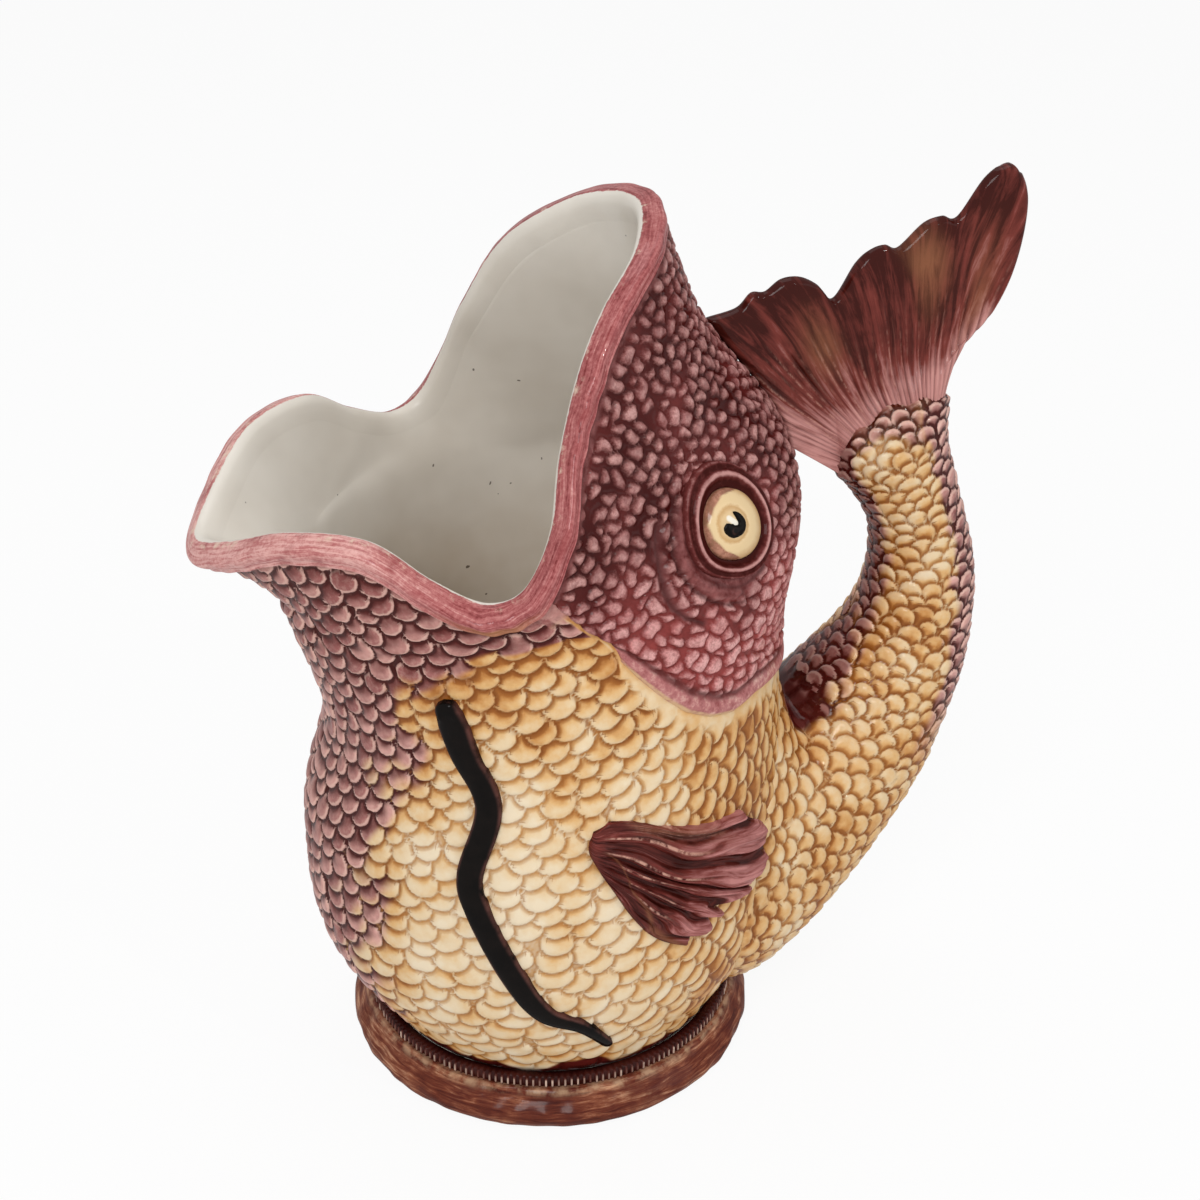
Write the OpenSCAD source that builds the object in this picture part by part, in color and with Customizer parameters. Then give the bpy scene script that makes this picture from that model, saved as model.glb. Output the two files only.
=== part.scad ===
// Gurgle jug in the form of a fish, for pouring water.
// The fish stands on its belly with its mouth open; its tail curls up and round to make the handle.
// The tail is hollow and opens into the body, and air drawn through it makes the gurgle.
// Frame: foot underside at z = 0, centre of the foot at the origin, spout towards -X, tail towards +X.

/* [Foot and floor] */
// Outer radius of the foot ring
foot_r = 60; // [58:0.5:64]
// Width of the foot ring from its outer edge in to the floor
foot_w = 9.75; // [9:0.25:11]
// Height of the foot ring up to the ledge that carries the ribbed band
foot_h = 12; // [10:0.5:14]
// Width of the flat tread under the foot
foot_tread = 4; // [3:0.25:5]
// Thickness of the floor
floor_t = 6; // [4:0.5:8]
// Number of ribs in the band above the foot
rib_count = 188; // [60:4:200]
// Height of the ribbed band
rib_h = 3.2; // [2:0.2:3.6]
// Thickness of the ribbed band
rib_t = 2.2; // [1.8:0.1:2.6]
// Depth of the grooves between the ribs
rib_depth = 0.9; // [0.5:0.1:1.4]

/* [Body] */
// Wall thickness of the body and the head
wall = 5; // [4:0.25:6]
// Reach of the hip towards the spout
hip_front = 67; // [63:0.5:70]
// Half width of the hip
hip_side = 62; // [59:0.5:65]
// Reach of the hip towards the tail
hip_rear = 66; // [63:0.5:68]
// Height of the hip
hip_z = 42; // [38:1:46]
// Reach of the belly towards the spout
belly_front = 70; // [66:0.5:74]
// Half width of the belly
belly_side = 66; // [63:0.5:69]
// Reach of the belly towards the tail
belly_rear = 68; // [66:0.5:70]
// Height of the belly's widest line
belly_z = 80; // [76:1:84]
// Reach of the throat towards the spout
throat_front = 62.5; // [60:0.5:65]
// Height of the throat's narrowest line in front
throat_z = 115; // [112:1:118]
// Half width at the gills
gill_side = 64; // [62:0.5:66]
// Height of the gill line at the sides
gill_z = 128; // [125:1:131]
// Reach of the nape towards the tail
nape_rear = 64; // [62:0.5:66]
// Height of the nape
nape_z = 140; // [136:1:144]

/* [Mouth and lip] */
// Reach of the spout tip
spout_reach = 94.5; // [90:0.5:98]
// Height of the spout tip
spout_z = 170; // [167:0.5:173]
// Half width of the mouth at its corners
mouth_half_w = 66; // [64:0.5:68]
// Height of the mouth's low corner
corner_z = 173.5; // [171:0.5:176]
// Height of the upper lip
upper_lip_z = 252.5; // [249:0.5:255]
// Height of the rolled lip band
lip_band = 8; // [6.5:0.25:9]
// How far the lip rolls out past the wall
lip_roll_out = 3; // [2:0.2:3.6]

/* [Head] */
// How far the gill cover stands proud of the body
head_proud = 1.6; // [0.8:0.2:2.4]
// Radius of the raised ring round the eye
orbit_r = 14.5; // [13:0.5:16]
// Height of the raised ring round the eye
orbit_h = 2.6; // [1.6:0.2:3.4]
// Radius of the cream eyeball
eyeball_r = 9; // [8:0.25:10]
// Height of the eyeball's dome
eyeball_h = 4; // [3:0.25:5]
// Radius of the black pupil mark
pupil_r = 2.8; // [2:0.2:3.6]
// Thickness of the pupil mark
pupil_h = 0.6; // [0.4:0.1:1]

/* [Tail handle] */
// Half width of the tail's root on the body, in degrees round the body
root_spread = 44; // [40:1:45]
// Wall thickness of the hollow tail
tail_wall = 5; // [4:0.25:6]
// Radius of the port between the body and the tail
port_r = 18; // [14:0.5:20]
// Distance of the tail's lower bend behind the middle of the foot
tail_low_x = 97; // [95:0.5:99]
// Height of the tail's lower bend
tail_low_z = 90; // [88:0.5:92]
// Furthest reach of the tail's centre line
tail_bow_x = 113; // [110:0.5:116]
// Height of the furthest reach
tail_bow_z = 133.5; // [130:0.5:137]
// Distance of the tail's end, under the fin, behind the middle of the foot
tail_top_x = 100.5; // [98:0.5:103]
// Height of the tail's end
tail_top_z = 174.5; // [172:0.5:177]
// Radius of the tail at its lower bend
tail_low_r = 25; // [23.5:0.5:26.5]
// Radius of the tail at its middle
tail_mid_r = 16; // [15:0.25:17.5]
// Radius of the tail below the fin
tail_end_r = 13.8; // [12.5:0.1:15]

/* [Tail fin] */
// Thickness of the fin along its scalloped edge
fin_edge_t = 4.4; // [3:0.2:6]
// Distance of the fin's tip behind the middle of the foot
fin_tip_x = 130.5; // [127:0.5:134]
// Height of the fin's tip
fin_tip_z = 254; // [250:0.5:256]

/* [Side fins and eels] */
// Height of the side fin's relief
side_fin_h = 5; // [4:0.25:6]
// Depth of the side fin's grooves
side_fin_groove = 1.1; // [0.4:0.1:1.4]
// Half width of the eel strip
eel_half_w = 3.6; // [2.5:0.1:4]
// Height of the eel strip
eel_h = 2.4; // [1.6:0.2:3]

/* [Fits] */
// Gap left between pieces that are joined with slip
slip = 0.25; // [0.2:0.05:0.35]

/* [Hidden] */

// Colours as fired
cream = [0.86, 0.72, 0.48];
mauve = [0.52, 0.28, 0.31];
rose = [0.68, 0.40, 0.43];
maroon = [0.32, 0.12, 0.11];
foot_brown = [0.40, 0.20, 0.15];
ivory = [0.92, 0.86, 0.66];
black = [0.05, 0.04, 0.05];

// Radius of the floor and of the body where it stands on the floor
base_r = foot_r - foot_w - slip;
// The body stands on the floor at this height
body_z = foot_h + 2;

// Rings of the vessel from the floor up:
// front x, side x, rear x, half width, front z, side z, rear z
rings = [
    [-base_r, 0, base_r, base_r, body_z, body_z, body_z],
    [-hip_front, 0, hip_rear, hip_side, hip_z, hip_z, hip_z],
    [-belly_front, 0, belly_rear, belly_side, belly_z, belly_z, belly_z],
    [-throat_front, 0, nape_rear, gill_side, throat_z, gill_z, nape_z],
    [-throat_front - 9.5, -1, nape_rear, gill_side - 1, throat_z + 34, gill_z + 30, nape_z + 48],
    [-throat_front - 11, -9, nape_rear - 23.5, gill_side - 0.5, throat_z + 41, gill_z + 38, nape_z + 81]
];
// Where the rings and the rim sit along the height parameter t, from 0 at the floor to 1 at the rim
knots = [0, 0.17, 0.37, 0.60, 0.79, 0.90, 1];

// Crest of the mouth: angle from the spout (0) to the upper lip (180), x, y, z
rim_half = [
    [0, -spout_reach, 0, spout_z],
    [15, -spout_reach + 6.5, 18, spout_z + 6.2],
    [30, -75, 36, spout_z + 16],
    [45, -57.5, mouth_half_w - 17, spout_z + 18],
    [60, -44, mouth_half_w - 9, corner_z + 6],
    [75, -32, mouth_half_w - 3, corner_z],
    [90, -21, mouth_half_w - 0.5, corner_z + 4.5],
    [105, -12.5, mouth_half_w - 3, upper_lip_z - 59],
    [120, -8, mouth_half_w - 11, upper_lip_z - 43],
    [150, 7, mouth_half_w - 27, upper_lip_z - 16],
    [165, 21, 24, upper_lip_z - 5],
    [180, 28.3, 0, upper_lip_z]
];
rim_n = len(rim_half);
rim_k = concat([-30, -15], [for (r = rim_half) r[0]], [195, 210]);
rim_p = concat([for (i = [2, 1]) [rim_half[i][1], -rim_half[i][2], rim_half[i][3]]],
               [for (r = rim_half) [r[1], r[2], r[3]]],
               [for (i = [rim_n - 2, rim_n - 3]) [rim_half[i][1], -rim_half[i][2], rim_half[i][3]]]);

// Gill edge in side view, from the mouth corner down round the gill cover and back to the nape: x, z
gill_line = [[-16, 176], [-9, 168.5], [-4, 164.5], [2, 156], [8, 148.5], [14.5, 141.5], [21, 135.5],
             [28.5, 131], [36, 128.6], [44, 129], [52, 127], [60, 124], [90, 121]];

// Middle of the eye: angle from the spout, height t
eye_s = 132;
eye_t = 0.842;

// Tail centre line from the lower bend to the fin: x, z, radius in the plane of the bend, sideways radius
tail = [
    [tail_low_x, tail_low_z, tail_low_r, tail_low_r + 1],
    [mix(tail_low_x, tail_bow_x, 0.76), mix(tail_low_z, tail_bow_z, 0.494), tail_low_r - 5.2, tail_low_r - 5],
    [tail_bow_x, tail_bow_z, tail_mid_r, tail_mid_r],
    [mix(tail_bow_x, tail_top_x, 0.31), mix(tail_bow_z, tail_top_z, 0.523), tail_end_r, tail_end_r],
    [tail_top_x, tail_top_z, tail_end_r + 2.7, tail_end_r]
];
root_t = 0.265;
root_dt = 0.245;
port_t = 0.33;

// Smooth curve through values P at knots k
function slope(k, P, i) =
    i == 0 ? (P[1] - P[0]) / (k[1] - k[0]) :
    i == len(k) - 1 ? (P[i] - P[i - 1]) / (k[i] - k[i - 1]) :
    let (a = k[i] - k[i - 1], b = k[i + 1] - k[i])
    ((P[i] - P[i - 1]) * (b / a) + (P[i + 1] - P[i]) * (a / b)) / (a + b);
function span(k, x, i = 0) = i >= len(k) - 2 || x < k[i + 1] ? i : span(k, x, i + 1);
function hermite(p0, m0, p1, m1, u) =
    p0 * (2 * u * u * u - 3 * u * u + 1) + m0 * (u * u * u - 2 * u * u + u)
    + p1 * (3 * u * u - 2 * u * u * u) + m1 * (u * u * u - u * u);
function spline(k, P, x) =
    let (i = span(k, x), h = k[i + 1] - k[i])
    hermite(P[i], slope(k, P, i) * h, P[i + 1], slope(k, P, i + 1) * h, (x - k[i]) / h);
function evenly(P) = [for (i = [0:len(P) - 1]) i / (len(P) - 1)];
function curve(P, u) = spline(evenly(P), P, u);
function mix(a, b, u) = a + (b - a) * u;
function smooth(u) = let (v = min(max(u, 0), 1)) v * v * (3 - 2 * v);
function unit(v) = v / norm(v);

// Outer surface of the vessel at angle s from the spout and height t
function ring_pt(r, s) =
    let (c = cos(s))
    [r[1] + (c > 0 ? r[0] - r[1] : r[1] - r[2]) * c,
     r[3] * sin(s),
     r[5] + (c > 0 ? r[4] - r[5] : r[6] - r[5]) * c * c];
function fold(s) = s > 180 ? 360 - s : s;
function rim_pt(s) =
    let (p = spline(rim_k, rim_p, fold(s)))
    [p[0], s > 180 ? -p[1] : p[1], p[2]];
function column(s) = concat([for (r = rings) ring_pt(r, s)], [rim_pt(s)]);
function surf(s, t) = spline(knots, column(s), t);
function normal(s, t) =
    unit(cross(surf(s, min(t + 0.004, 1)) - surf(s, max(t - 0.004, 0)),
               surf(s + 0.5, t) - surf(s - 0.5, t)));
function skin(s, t, h) = surf(s, t) + normal(s, t) * h;

// Angle and height of a place a mm round and b mm up the surface from (s, t)
function nearby(s, t, a, b) =
    let (es = surf(s + 0.5, t) - surf(s - 0.5, t),
         et = (surf(s, t + 0.004) - surf(s, t - 0.004)) / 0.008,
         e1 = unit(es), p = et * e1, q = norm(et - e1 * p))
    [s + (a - p * b / q) / norm(es), t + b / q];

// Height t of the lip's lower edge, and of the top edge of the body under the lip or the gill cover
function t_per_mm(s) = 0.04 / norm(surf(s, 1) - surf(s, 0.96));
function lip_t(s) = 1 - lip_band * t_per_mm(s);
function under_lip(s) = lip_t(s) - slip * t_per_mm(s);

// Angles of the columns round the vessel
cols = [for (a = [0:6:354]) a];

// Solid from closed loops of points that follow each other round a closed ring
module ring_solid(loops) {
    n = len(loops);
    m = len(loops[0]);
    faces = [for (i = [0:n - 1], j = [0:m - 1])
        let (a = i * m + j, b = i * m + (j + 1) % m,
             c = ((i + 1) % n) * m + (j + 1) % m, d = ((i + 1) % n) * m + j)
        each [[a, d, c], [a, c, b]]];
    polyhedron([for (l = loops) each l], faces);
}

// Solid between an upper and a lower grid of points, open at its ends
module slab(top, low) {
    n = len(top);
    m = len(top[0]);
    o = n * m;
    up = [for (i = [0:n - 2], j = [0:m - 2])
        let (a = i * m + j, b = a + 1, c = a + m + 1, d = a + m)
        each [[a, d, c], [a, c, b]]];
    down = [for (f = up) [f[2] + o, f[1] + o, f[0] + o]];
    ends = [for (i = [0:n - 2], e = [0, m - 1])
        let (a = i * m + e, d = a + m)
        each e == 0 ? [[d, a, a + o], [d, a + o, d + o]] : [[a, d, d + o], [a, d + o, a + o]]];
    sides = [for (j = [0:m - 2], e = [0, n - 1])
        let (a = e * m + j, b = a + 1)
        each e == 0 ? [[a, b, b + o], [a, b + o, a + o]] : [[b, a, a + o], [b, a + o, b + o]]];
    polyhedron(concat([for (r = top) each r], [for (r = low) each r]), concat(up, down, ends, sides));
}

// Vessel wall from the floor to the lip, with its outside moved out by h
wall_rows = 20;
function wall_in(s, t) =
    t == 0 ? let (p = surf(s, 0), k = 1 - wall / base_r) [p[0] * k, p[1] * k, p[2]] : skin(s, t, -wall);
module vessel_wall(h) {
    ring_solid([for (s = cols)
        let (top = under_lip(s))
        concat([for (j = [0:wall_rows])
                    let (t = top * j / wall_rows) h == 0 ? surf(s, t) : skin(s, t, h)],
               [for (j = [wall_rows:-1:0]) wall_in(s, top * j / wall_rows)])]);
}
// Block behind and above the gill edge, moved up and back by d
module head_block(d) {
    translate([d * 0.8, 100, d]) rotate([90, 0, 0]) linear_extrude(200)
        polygon(concat(gill_line, [[90, 300], [-16, 300]]));
}

// Belly, throat and lower jaw
port_z = surf(180, port_t)[2];
module body_shell() {
    color(cream) difference() {
        vessel_wall(0);
        head_block(0);
        translate([belly_rear - 3 * wall, 0, port_z]) rotate([0, 90, 0])
            cylinder(r = port_r, h = 5 * wall, $fn = 48);
    }
}

// Skull, cheeks and gill covers, a little proud of the body
module head_shell() {
    color(mauve) intersection() {
        vessel_wall(head_proud);
        head_block(slip);
    }
}

// Rolled lip: a section of outward and upward distances, carried round the mouth
lip_section = concat(
    [[-wall, -lip_band], [0.7 * lip_roll_out, -lip_band]],
    [for (a = [-45:30:105]) [lip_roll_out * (0.35 + 0.65 * cos(a - 20)), lip_band * (-0.48 + 0.48 * sin(a))]],
    [[-0.4 * wall, 0.7], [-0.75 * wall, 0], [-0.97 * wall, -0.22 * lip_band], [-wall, -0.5 * lip_band]]);
function lip_pt(s, q) =
    let (t = 1 + min(q[1], 0) * t_per_mm(s))
    skin(s, t, q[0]) + unit(surf(s, 1) - surf(s, 0.98)) * max(q[1], 0);
module lip_roll() {
    color(rose) ring_solid([for (s = cols) [for (q = lip_section) lip_pt(s, q)]]);
}

// Turned foot with a flat tread and a rounded edge
foot_in = base_r + slip;
foot_round = 0.36 * foot_h;
module foot_ring() {
    color(foot_brown) rotate_extrude($fn = 96)
        polygon(concat(
            [[foot_r - 4.8 - foot_tread, 0], [foot_r - 4.8, 0]],
            [for (a = [-50:22.5:40]) [foot_r - foot_round + foot_round * cos(a), foot_round * (1 + sin(a))]],
            [[foot_r - 4.6, foot_h - 1], [foot_r - 5, foot_h], [foot_in, foot_h], [foot_in, 3]]));
}

// Ribbed band in the groove above the foot
rib_in = max([for (a = [0:30:180]) norm([surf(a, 0.012)[0], surf(a, 0.012)[1]])]) + 1.6;
rib_out = rib_in + rib_t;
module notch_ring() {
    color(maroon) translate([0, 0, foot_h]) linear_extrude(rib_h) difference() {
        polygon([for (i = [0:rib_count - 1], q = [[0, 1], [0.3, 1], [0.5, 0], [0.8, 0]])
            let (a = 360 * (i + q[0]) / rib_count, r = rib_out - rib_depth * (1 - q[1]))
            [r * cos(a), r * sin(a)]]);
        circle(r = rib_in, $fn = 240);
    }
}

// Floor of the vessel, set inside the foot
module base_plate() {
    color(cream) translate([0, 0, body_z - floor_t]) cylinder(r = base_r, h = floor_t, $fn = 96);
}

// Hollow tail: the flared root lies on the body, then the tube follows the centre line
tail_k = [for (i = [0:len(tail) - 1]) i == 0 ? 0 : norm([for (c = [0, 1]) tail[i][c] - tail[0][c]]) ];
function tail_dir(i) =
    let (a = max(i - 1, 0), b = min(i + 1, len(tail) - 1))
    unit([tail[b][0] - tail[a][0], tail[b][1] - tail[a][1]]);
function tail_ring(i, a, thin) =
    let (d = tail_dir(i), s = tail[i])
    [s[0] + d[1] * (s[2] - thin) * cos(a), (s[3] - thin) * sin(a), s[1] - d[0] * (s[2] - thin) * cos(a)];
function tail_along(a, thin, u) =
    spline(evenly(tail), [for (i = [0:len(tail) - 1]) tail_ring(i, a, thin)], u);
// The root's outline is an oval, squarer below than above
function square_off(x) = sign(x) * pow(abs(x), 0.72);
function root_s(a, spread) = 180 - spread * (cos(a) > 0 ? square_off(sin(a)) : sin(a));
function root_h(a, t0, dt) = t0 - dt * (cos(a) > 0 ? square_off(cos(a)) : cos(a));
function root_pt(a, spread, t0, dt, h) = skin(root_s(a, spread), root_h(a, t0, dt), h);
root_edge = 0.8;
function root_dir(a, spread, t0, dt) =
    let (s = root_s(a, spread), t = root_h(a, t0, dt), n = normal(s, t), v = surf(180, t0) - surf(s, t))
    (v - n * (v * n)) * (0.6 - 0.2 * abs(cos(a))) + n * (40 + 24 * cos(a));
function tail_root(a, spread, t0, dt, h, thin, u) =
    let (p1 = tail_ring(0, a, thin), m1 = (tail_ring(1, a, thin) - p1) * (1.55 - 0.25 * cos(a)))
    hermite(root_pt(a, spread, t0, dt, h), root_dir(a, spread, t0, dt), p1, m1, u);
port_spread = asin(port_r / belly_rear);
port_dt = port_r / norm(surf(180, port_t + 0.05) - surf(180, port_t - 0.05)) * 0.1;
root_rows = 8;
tube_rows = 12;
function tail_loop(a) = concat(
    [for (j = [0:root_rows - 1])
        tail_root(a, root_spread, root_t, root_dt, slip + root_edge, 0, j / root_rows)],
    [for (j = [0:tube_rows]) tail_along(a, 0, j / tube_rows)],
    [for (j = [tube_rows:-1:0]) tail_along(a, tail_wall, j / tube_rows)],
    [for (j = [root_rows - 1:-1:1])
        tail_root(a, port_spread, port_t, port_dt, slip, tail_wall, j / root_rows)],
    [for (j = [0:4])
        root_pt(a, mix(port_spread, root_spread, j / 4), mix(port_t, root_t, j / 4),
                mix(port_dt, root_dt, j / 4), slip)]);
module tail_handle() {
    color(cream) ring_solid([for (a = [348:-12:0]) tail_loop(a)]);
}

// Tail fin: rays from the tail's end and the back of the head up to a scalloped edge
fin_n = len(tail) - 1;
fin_d = tail_dir(fin_n);
fin_c = [tail[fin_n][0], tail[fin_n][1]] + fin_d * slip;
fin_half = tail[fin_n][2];
fin_side = tail[fin_n][3];
fin_a = fin_c - [fin_d[1], -fin_d[0]] * fin_half;
fin_b = fin_c + [fin_d[1], -fin_d[0]] * fin_half;
function on_head(t) = let (p = skin(180, t, head_proud + slip + 0.15)) [p[0], p[2]];
fin_foot = on_head(0.757);
fin_peak = on_head(0.885);
fin_neck = 0.25;
function fin_base(a) = a < fin_neck
    ? curve([fin_foot, mix(fin_foot, fin_a, 0.6) + [1, -0.6], fin_a], a / fin_neck)
    : mix(fin_a, fin_b, (a - fin_neck) / (1 - fin_neck));
function fin_left(r) = on_head(mix(0.757, 0.885, r));
fin_tip = [fin_tip_x, fin_tip_z];
// Outer edge of the fin from the tail to the tip, as shares along and off the straight line
fin_back = [[0.1326, 0.0246], [0.2983, -0.0031], [0.4467, -0.0882], [0.64, -0.124],
             [0.8684, -0.0961]];
function fin_right(r) =
    curve(concat([fin_b], [for (q = fin_back) off_line(fin_b, fin_tip, q)], [fin_tip]), r);
// Edge of the fin from the head to the tip, with its notches, as shares along and off the straight line
fin_lobes = [[0.0938, -0.0166], [0.1489, 0.0055], [0.1884, -0.0114], [0.2452, -0.0017],
             [0.2955, -0.0208], [0.3344, -0.0666], [0.3648, -0.1323], [0.4622, -0.0686],
             [0.5165, -0.0508], [0.5603, -0.0578], [0.5956, -0.0846], [0.6902, -0.0548],
             [0.7459, -0.0611], [0.7883, -0.085], [0.9056, -0.0158]];
function off_line(a, b, q) = a + (b - a) * q[0] + [a[1] - b[1], b[0] - a[0]] * q[1];
function fin_edge(a) =
    curve(concat([fin_peak], [for (q = fin_lobes) off_line(fin_peak, fin_tip, q)], [fin_tip]), a);
function coons(l, r, b, e, c00, c10, c01, c11, a, v) =
    l * (1 - a) + r * a + b * (1 - v) + e * v
    - (c00 * (1 - a) * (1 - v) + c10 * a * (1 - v) + c01 * (1 - a) * v + c11 * a * v);
function fin_pt(a, r) =
    coons(fin_left(r), fin_right(r), fin_base(a), fin_edge(a), fin_foot, fin_b, fin_peak, fin_tip, a, r);
function fin_half_t(a, r) =
    let (u = (a - fin_neck) / (1 - fin_neck),
         root = a < fin_neck ? 3.6 : max(3.6, fin_side * sqrt(max(0, 1 - pow(2 * u - 1, 2)))),
         body = mix(root, 3.4, smooth(r * 1.7)))
    mix(body, fin_edge_t / 2, smooth(r)) * (a < 0.02 || a > 0.98 ? 0.8 : 1);
fin_cols = 48;
fin_rows = 8;
module tail_fin() {
    color(maroon) slab(
        [for (i = [0:fin_cols]) [for (j = [0:fin_rows])
            let (a = i / fin_cols, r = j / fin_rows, p = fin_pt(a, r)) [p[0], fin_half_t(a, r), p[1]]]],
        [for (i = [0:fin_cols]) [for (j = [0:fin_rows])
            let (a = i / fin_cols, r = j / fin_rows, p = fin_pt(a, r)) [p[0], -fin_half_t(a, r), p[1]]]]);
}

// Side fin: a fan on the flank, given as angle from the spout and height t
side_top = [[85.5, 0.497], [92, 0.506], [103, 0.482], [116, 0.458], [127, 0.449]];
side_low = [[87, 0.440], [91, 0.398], [95, 0.355], [100, 0.315], [107.8, 0.285]];
side_root = [[85.5, 0.497], [84.6, 0.470], [87, 0.440]];
side_edge = [[127, 0.449], [134, 0.415], [137.5, 0.36], [135.5, 0.318], [131, 0.325], [127.5, 0.302],
             [121, 0.307], [117, 0.284], [107.8, 0.285]];
function side_pt(a, r) =
    coons(curve(side_top, r), curve(side_low, r), curve(side_root, a), curve(side_edge, a),
          side_top[0], side_low[0], side_top[4], side_low[4], a, r);
function side_end(r) = 1.6 * smooth((r - 0.6) / 0.4);
function side_rise(a, r) =
    let (bell = pow(sin(180 * mix(0.06, 0.94, a)), 0.5))
    0.5 + (side_fin_h - 0.5) * bell * mix(0.45, 1, smooth(r * 1.4))
    - side_fin_groove * smooth(r * 4) * (0.5 - 0.5 * cos(360 * 6 * a)) + side_end(r);
// The fin's free end stands off the flank, clear of the tail's root
function side_lift(s) = 2.6 * smooth((s - 122) / 10);
side_cols = 30;
side_rows = 8;
module pectoral_fin_far() {
    color(rose) slab(
        [for (i = [0:side_cols]) [for (j = [0:side_rows])
            let (a = i / side_cols, r = j / side_rows, q = side_pt(a, r))
            skin(q[0], q[1], slip + side_rise(a, r))]],
        [for (i = [0:side_cols]) [for (j = [0:side_rows])
            let (q = side_pt(i / side_cols, j / side_rows)) skin(q[0], q[1], slip + side_lift(q[0]))]]);
}
module pectoral_fin_near() {
    mirror([0, 1, 0]) pectoral_fin_far();
}

// Eel: a wavy strip down the flank, given as angle from the spout and height t
eel_path = [[54.4, 0.716], [56.3, 0.628], [61.5, 0.54], [58.5, 0.44], [61, 0.38], [68, 0.28], [75, 0.20],
            [84, 0.16], [92, 0.09]];
eel_rows = 30;
function eel_at(u, w) =
    let (q = curve(eel_path, u),
         q0 = curve(eel_path, max(u - 0.01, 0)), q1 = curve(eel_path, min(u + 0.01, 1)),
         d = surf(q1[0], q1[1]) - surf(q0[0], q0[1]),
         es = unit(surf(q[0] + 0.5, q[1]) - surf(q[0] - 0.5, q[1])),
         dx = d * es, dy = d * cross(es, normal(q[0], q[1])), l = sqrt(dx * dx + dy * dy))
    nearby(q[0], q[1], -dy / l * w, dx / l * w);
function eel_w(u) = eel_half_w * (u < 0.06 ? mix(0.75, 1.1, u / 0.06) : mix(1.1, 0.95, smooth((u - 0.06) * 6)))
    * mix(1, 0.45, smooth((u - 0.6) / 0.4));
eel_across = [-1, -0.85, -0.5, 0, 0.5, 0.85, 1];
module eel_far() {
    color(black) slab(
        [for (i = [0:eel_rows]) [for (c = eel_across)
            let (u = i / eel_rows, q = eel_at(u, c * eel_w(u)))
            skin(q[0], q[1], slip + 0.4 + (eel_h - 0.4) * sqrt(1 - c * c) * mix(1, 0.55, u))]],
        [for (i = [0:eel_rows]) [for (c = eel_across)
            let (u = i / eel_rows, q = eel_at(u, c * eel_w(u))) skin(q[0], q[1], slip)]]);
}
module eel_near() {
    mirror([0, 1, 0]) eel_far();
}

// Eye: a raised ring, a domed eyeball inside it and a pupil mark on the dome
eye_lift = head_proud + slip;
function eye_at(x, y) = nearby(eye_s, eye_t, x, y);
orbit_in = eyeball_r + 0.4;
module orbit_far() {
    color(maroon) ring_solid([for (a = [345:-15:0]) concat(
        [for (u = [0, 0.25, 0.5, 0.75, 1])
            let (r = mix(orbit_in, orbit_r, u), q = eye_at(r * cos(a), r * sin(a)))
            skin(q[0], q[1], eye_lift + 0.5 + (orbit_h - 0.5) * pow(sin(180 * u), 0.7))],
        [for (u = [1, 0.5, 0])
            let (r = mix(orbit_in, orbit_r, u), q = eye_at(r * cos(a), r * sin(a))) skin(q[0], q[1], eye_lift)])]);
}
module orbit_near() {
    mirror([0, 1, 0]) orbit_far();
}

// Square grid from -1 to 1 pulled out to a round disc
grid = [for (i = [-5:5]) i / 5];
function disc(u, v) = [u * sqrt(1 - v * v / 2), v * sqrt(1 - u * u / 2)];
function dome(r) = 0.8 + (eyeball_h - 0.8) * sqrt(max(0, 1 - r * r));
function eye_skin(x, y, h) = let (q = eye_at(x, y)) skin(q[0], q[1], eye_lift + h);
module eyeball_far() {
    color(ivory) slab(
        [for (u = grid) [for (v = grid) let (d = disc(u, v))
            eye_skin(d[0] * eyeball_r, d[1] * eyeball_r, dome(norm(d)))]],
        [for (u = grid) [for (v = grid) let (d = disc(u, v))
            eye_skin(d[0] * eyeball_r, d[1] * eyeball_r, 0)]]);
}
module eyeball_near() {
    mirror([0, 1, 0]) eyeball_far();
}
pupil_grid = [for (i = [-3:3]) i / 3];
function pupil_at(u, v) =
    let (d = disc(u, v)) [d[0] * pupil_r * mix(1.1, 0.95, (v + 1) / 2) - 0.9, d[1] * pupil_r * 1.1 + 1.9];
module pupil_far() {
    color(black) slab(
        [for (u = pupil_grid) [for (v = pupil_grid)
            let (d = pupil_at(u, v)) eye_skin(d[0], d[1], dome(norm(d) / eyeball_r) + 0.1 + pupil_h)]],
        [for (u = pupil_grid) [for (v = pupil_grid)
            let (d = pupil_at(u, v)) eye_skin(d[0], d[1], dome(norm(d) / eyeball_r) + 0.1)]]);
}
module pupil_near() {
    mirror([0, 1, 0]) pupil_far();
}

body_shell();
head_shell();
lip_roll();
foot_ring();
notch_ring();
base_plate();
tail_handle();
tail_fin();
pectoral_fin_near();
pectoral_fin_far();
eel_near();
eel_far();
orbit_near();
orbit_far();
eyeball_near();
eyeball_far();
pupil_near();
pupil_far();
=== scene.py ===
import math

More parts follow.
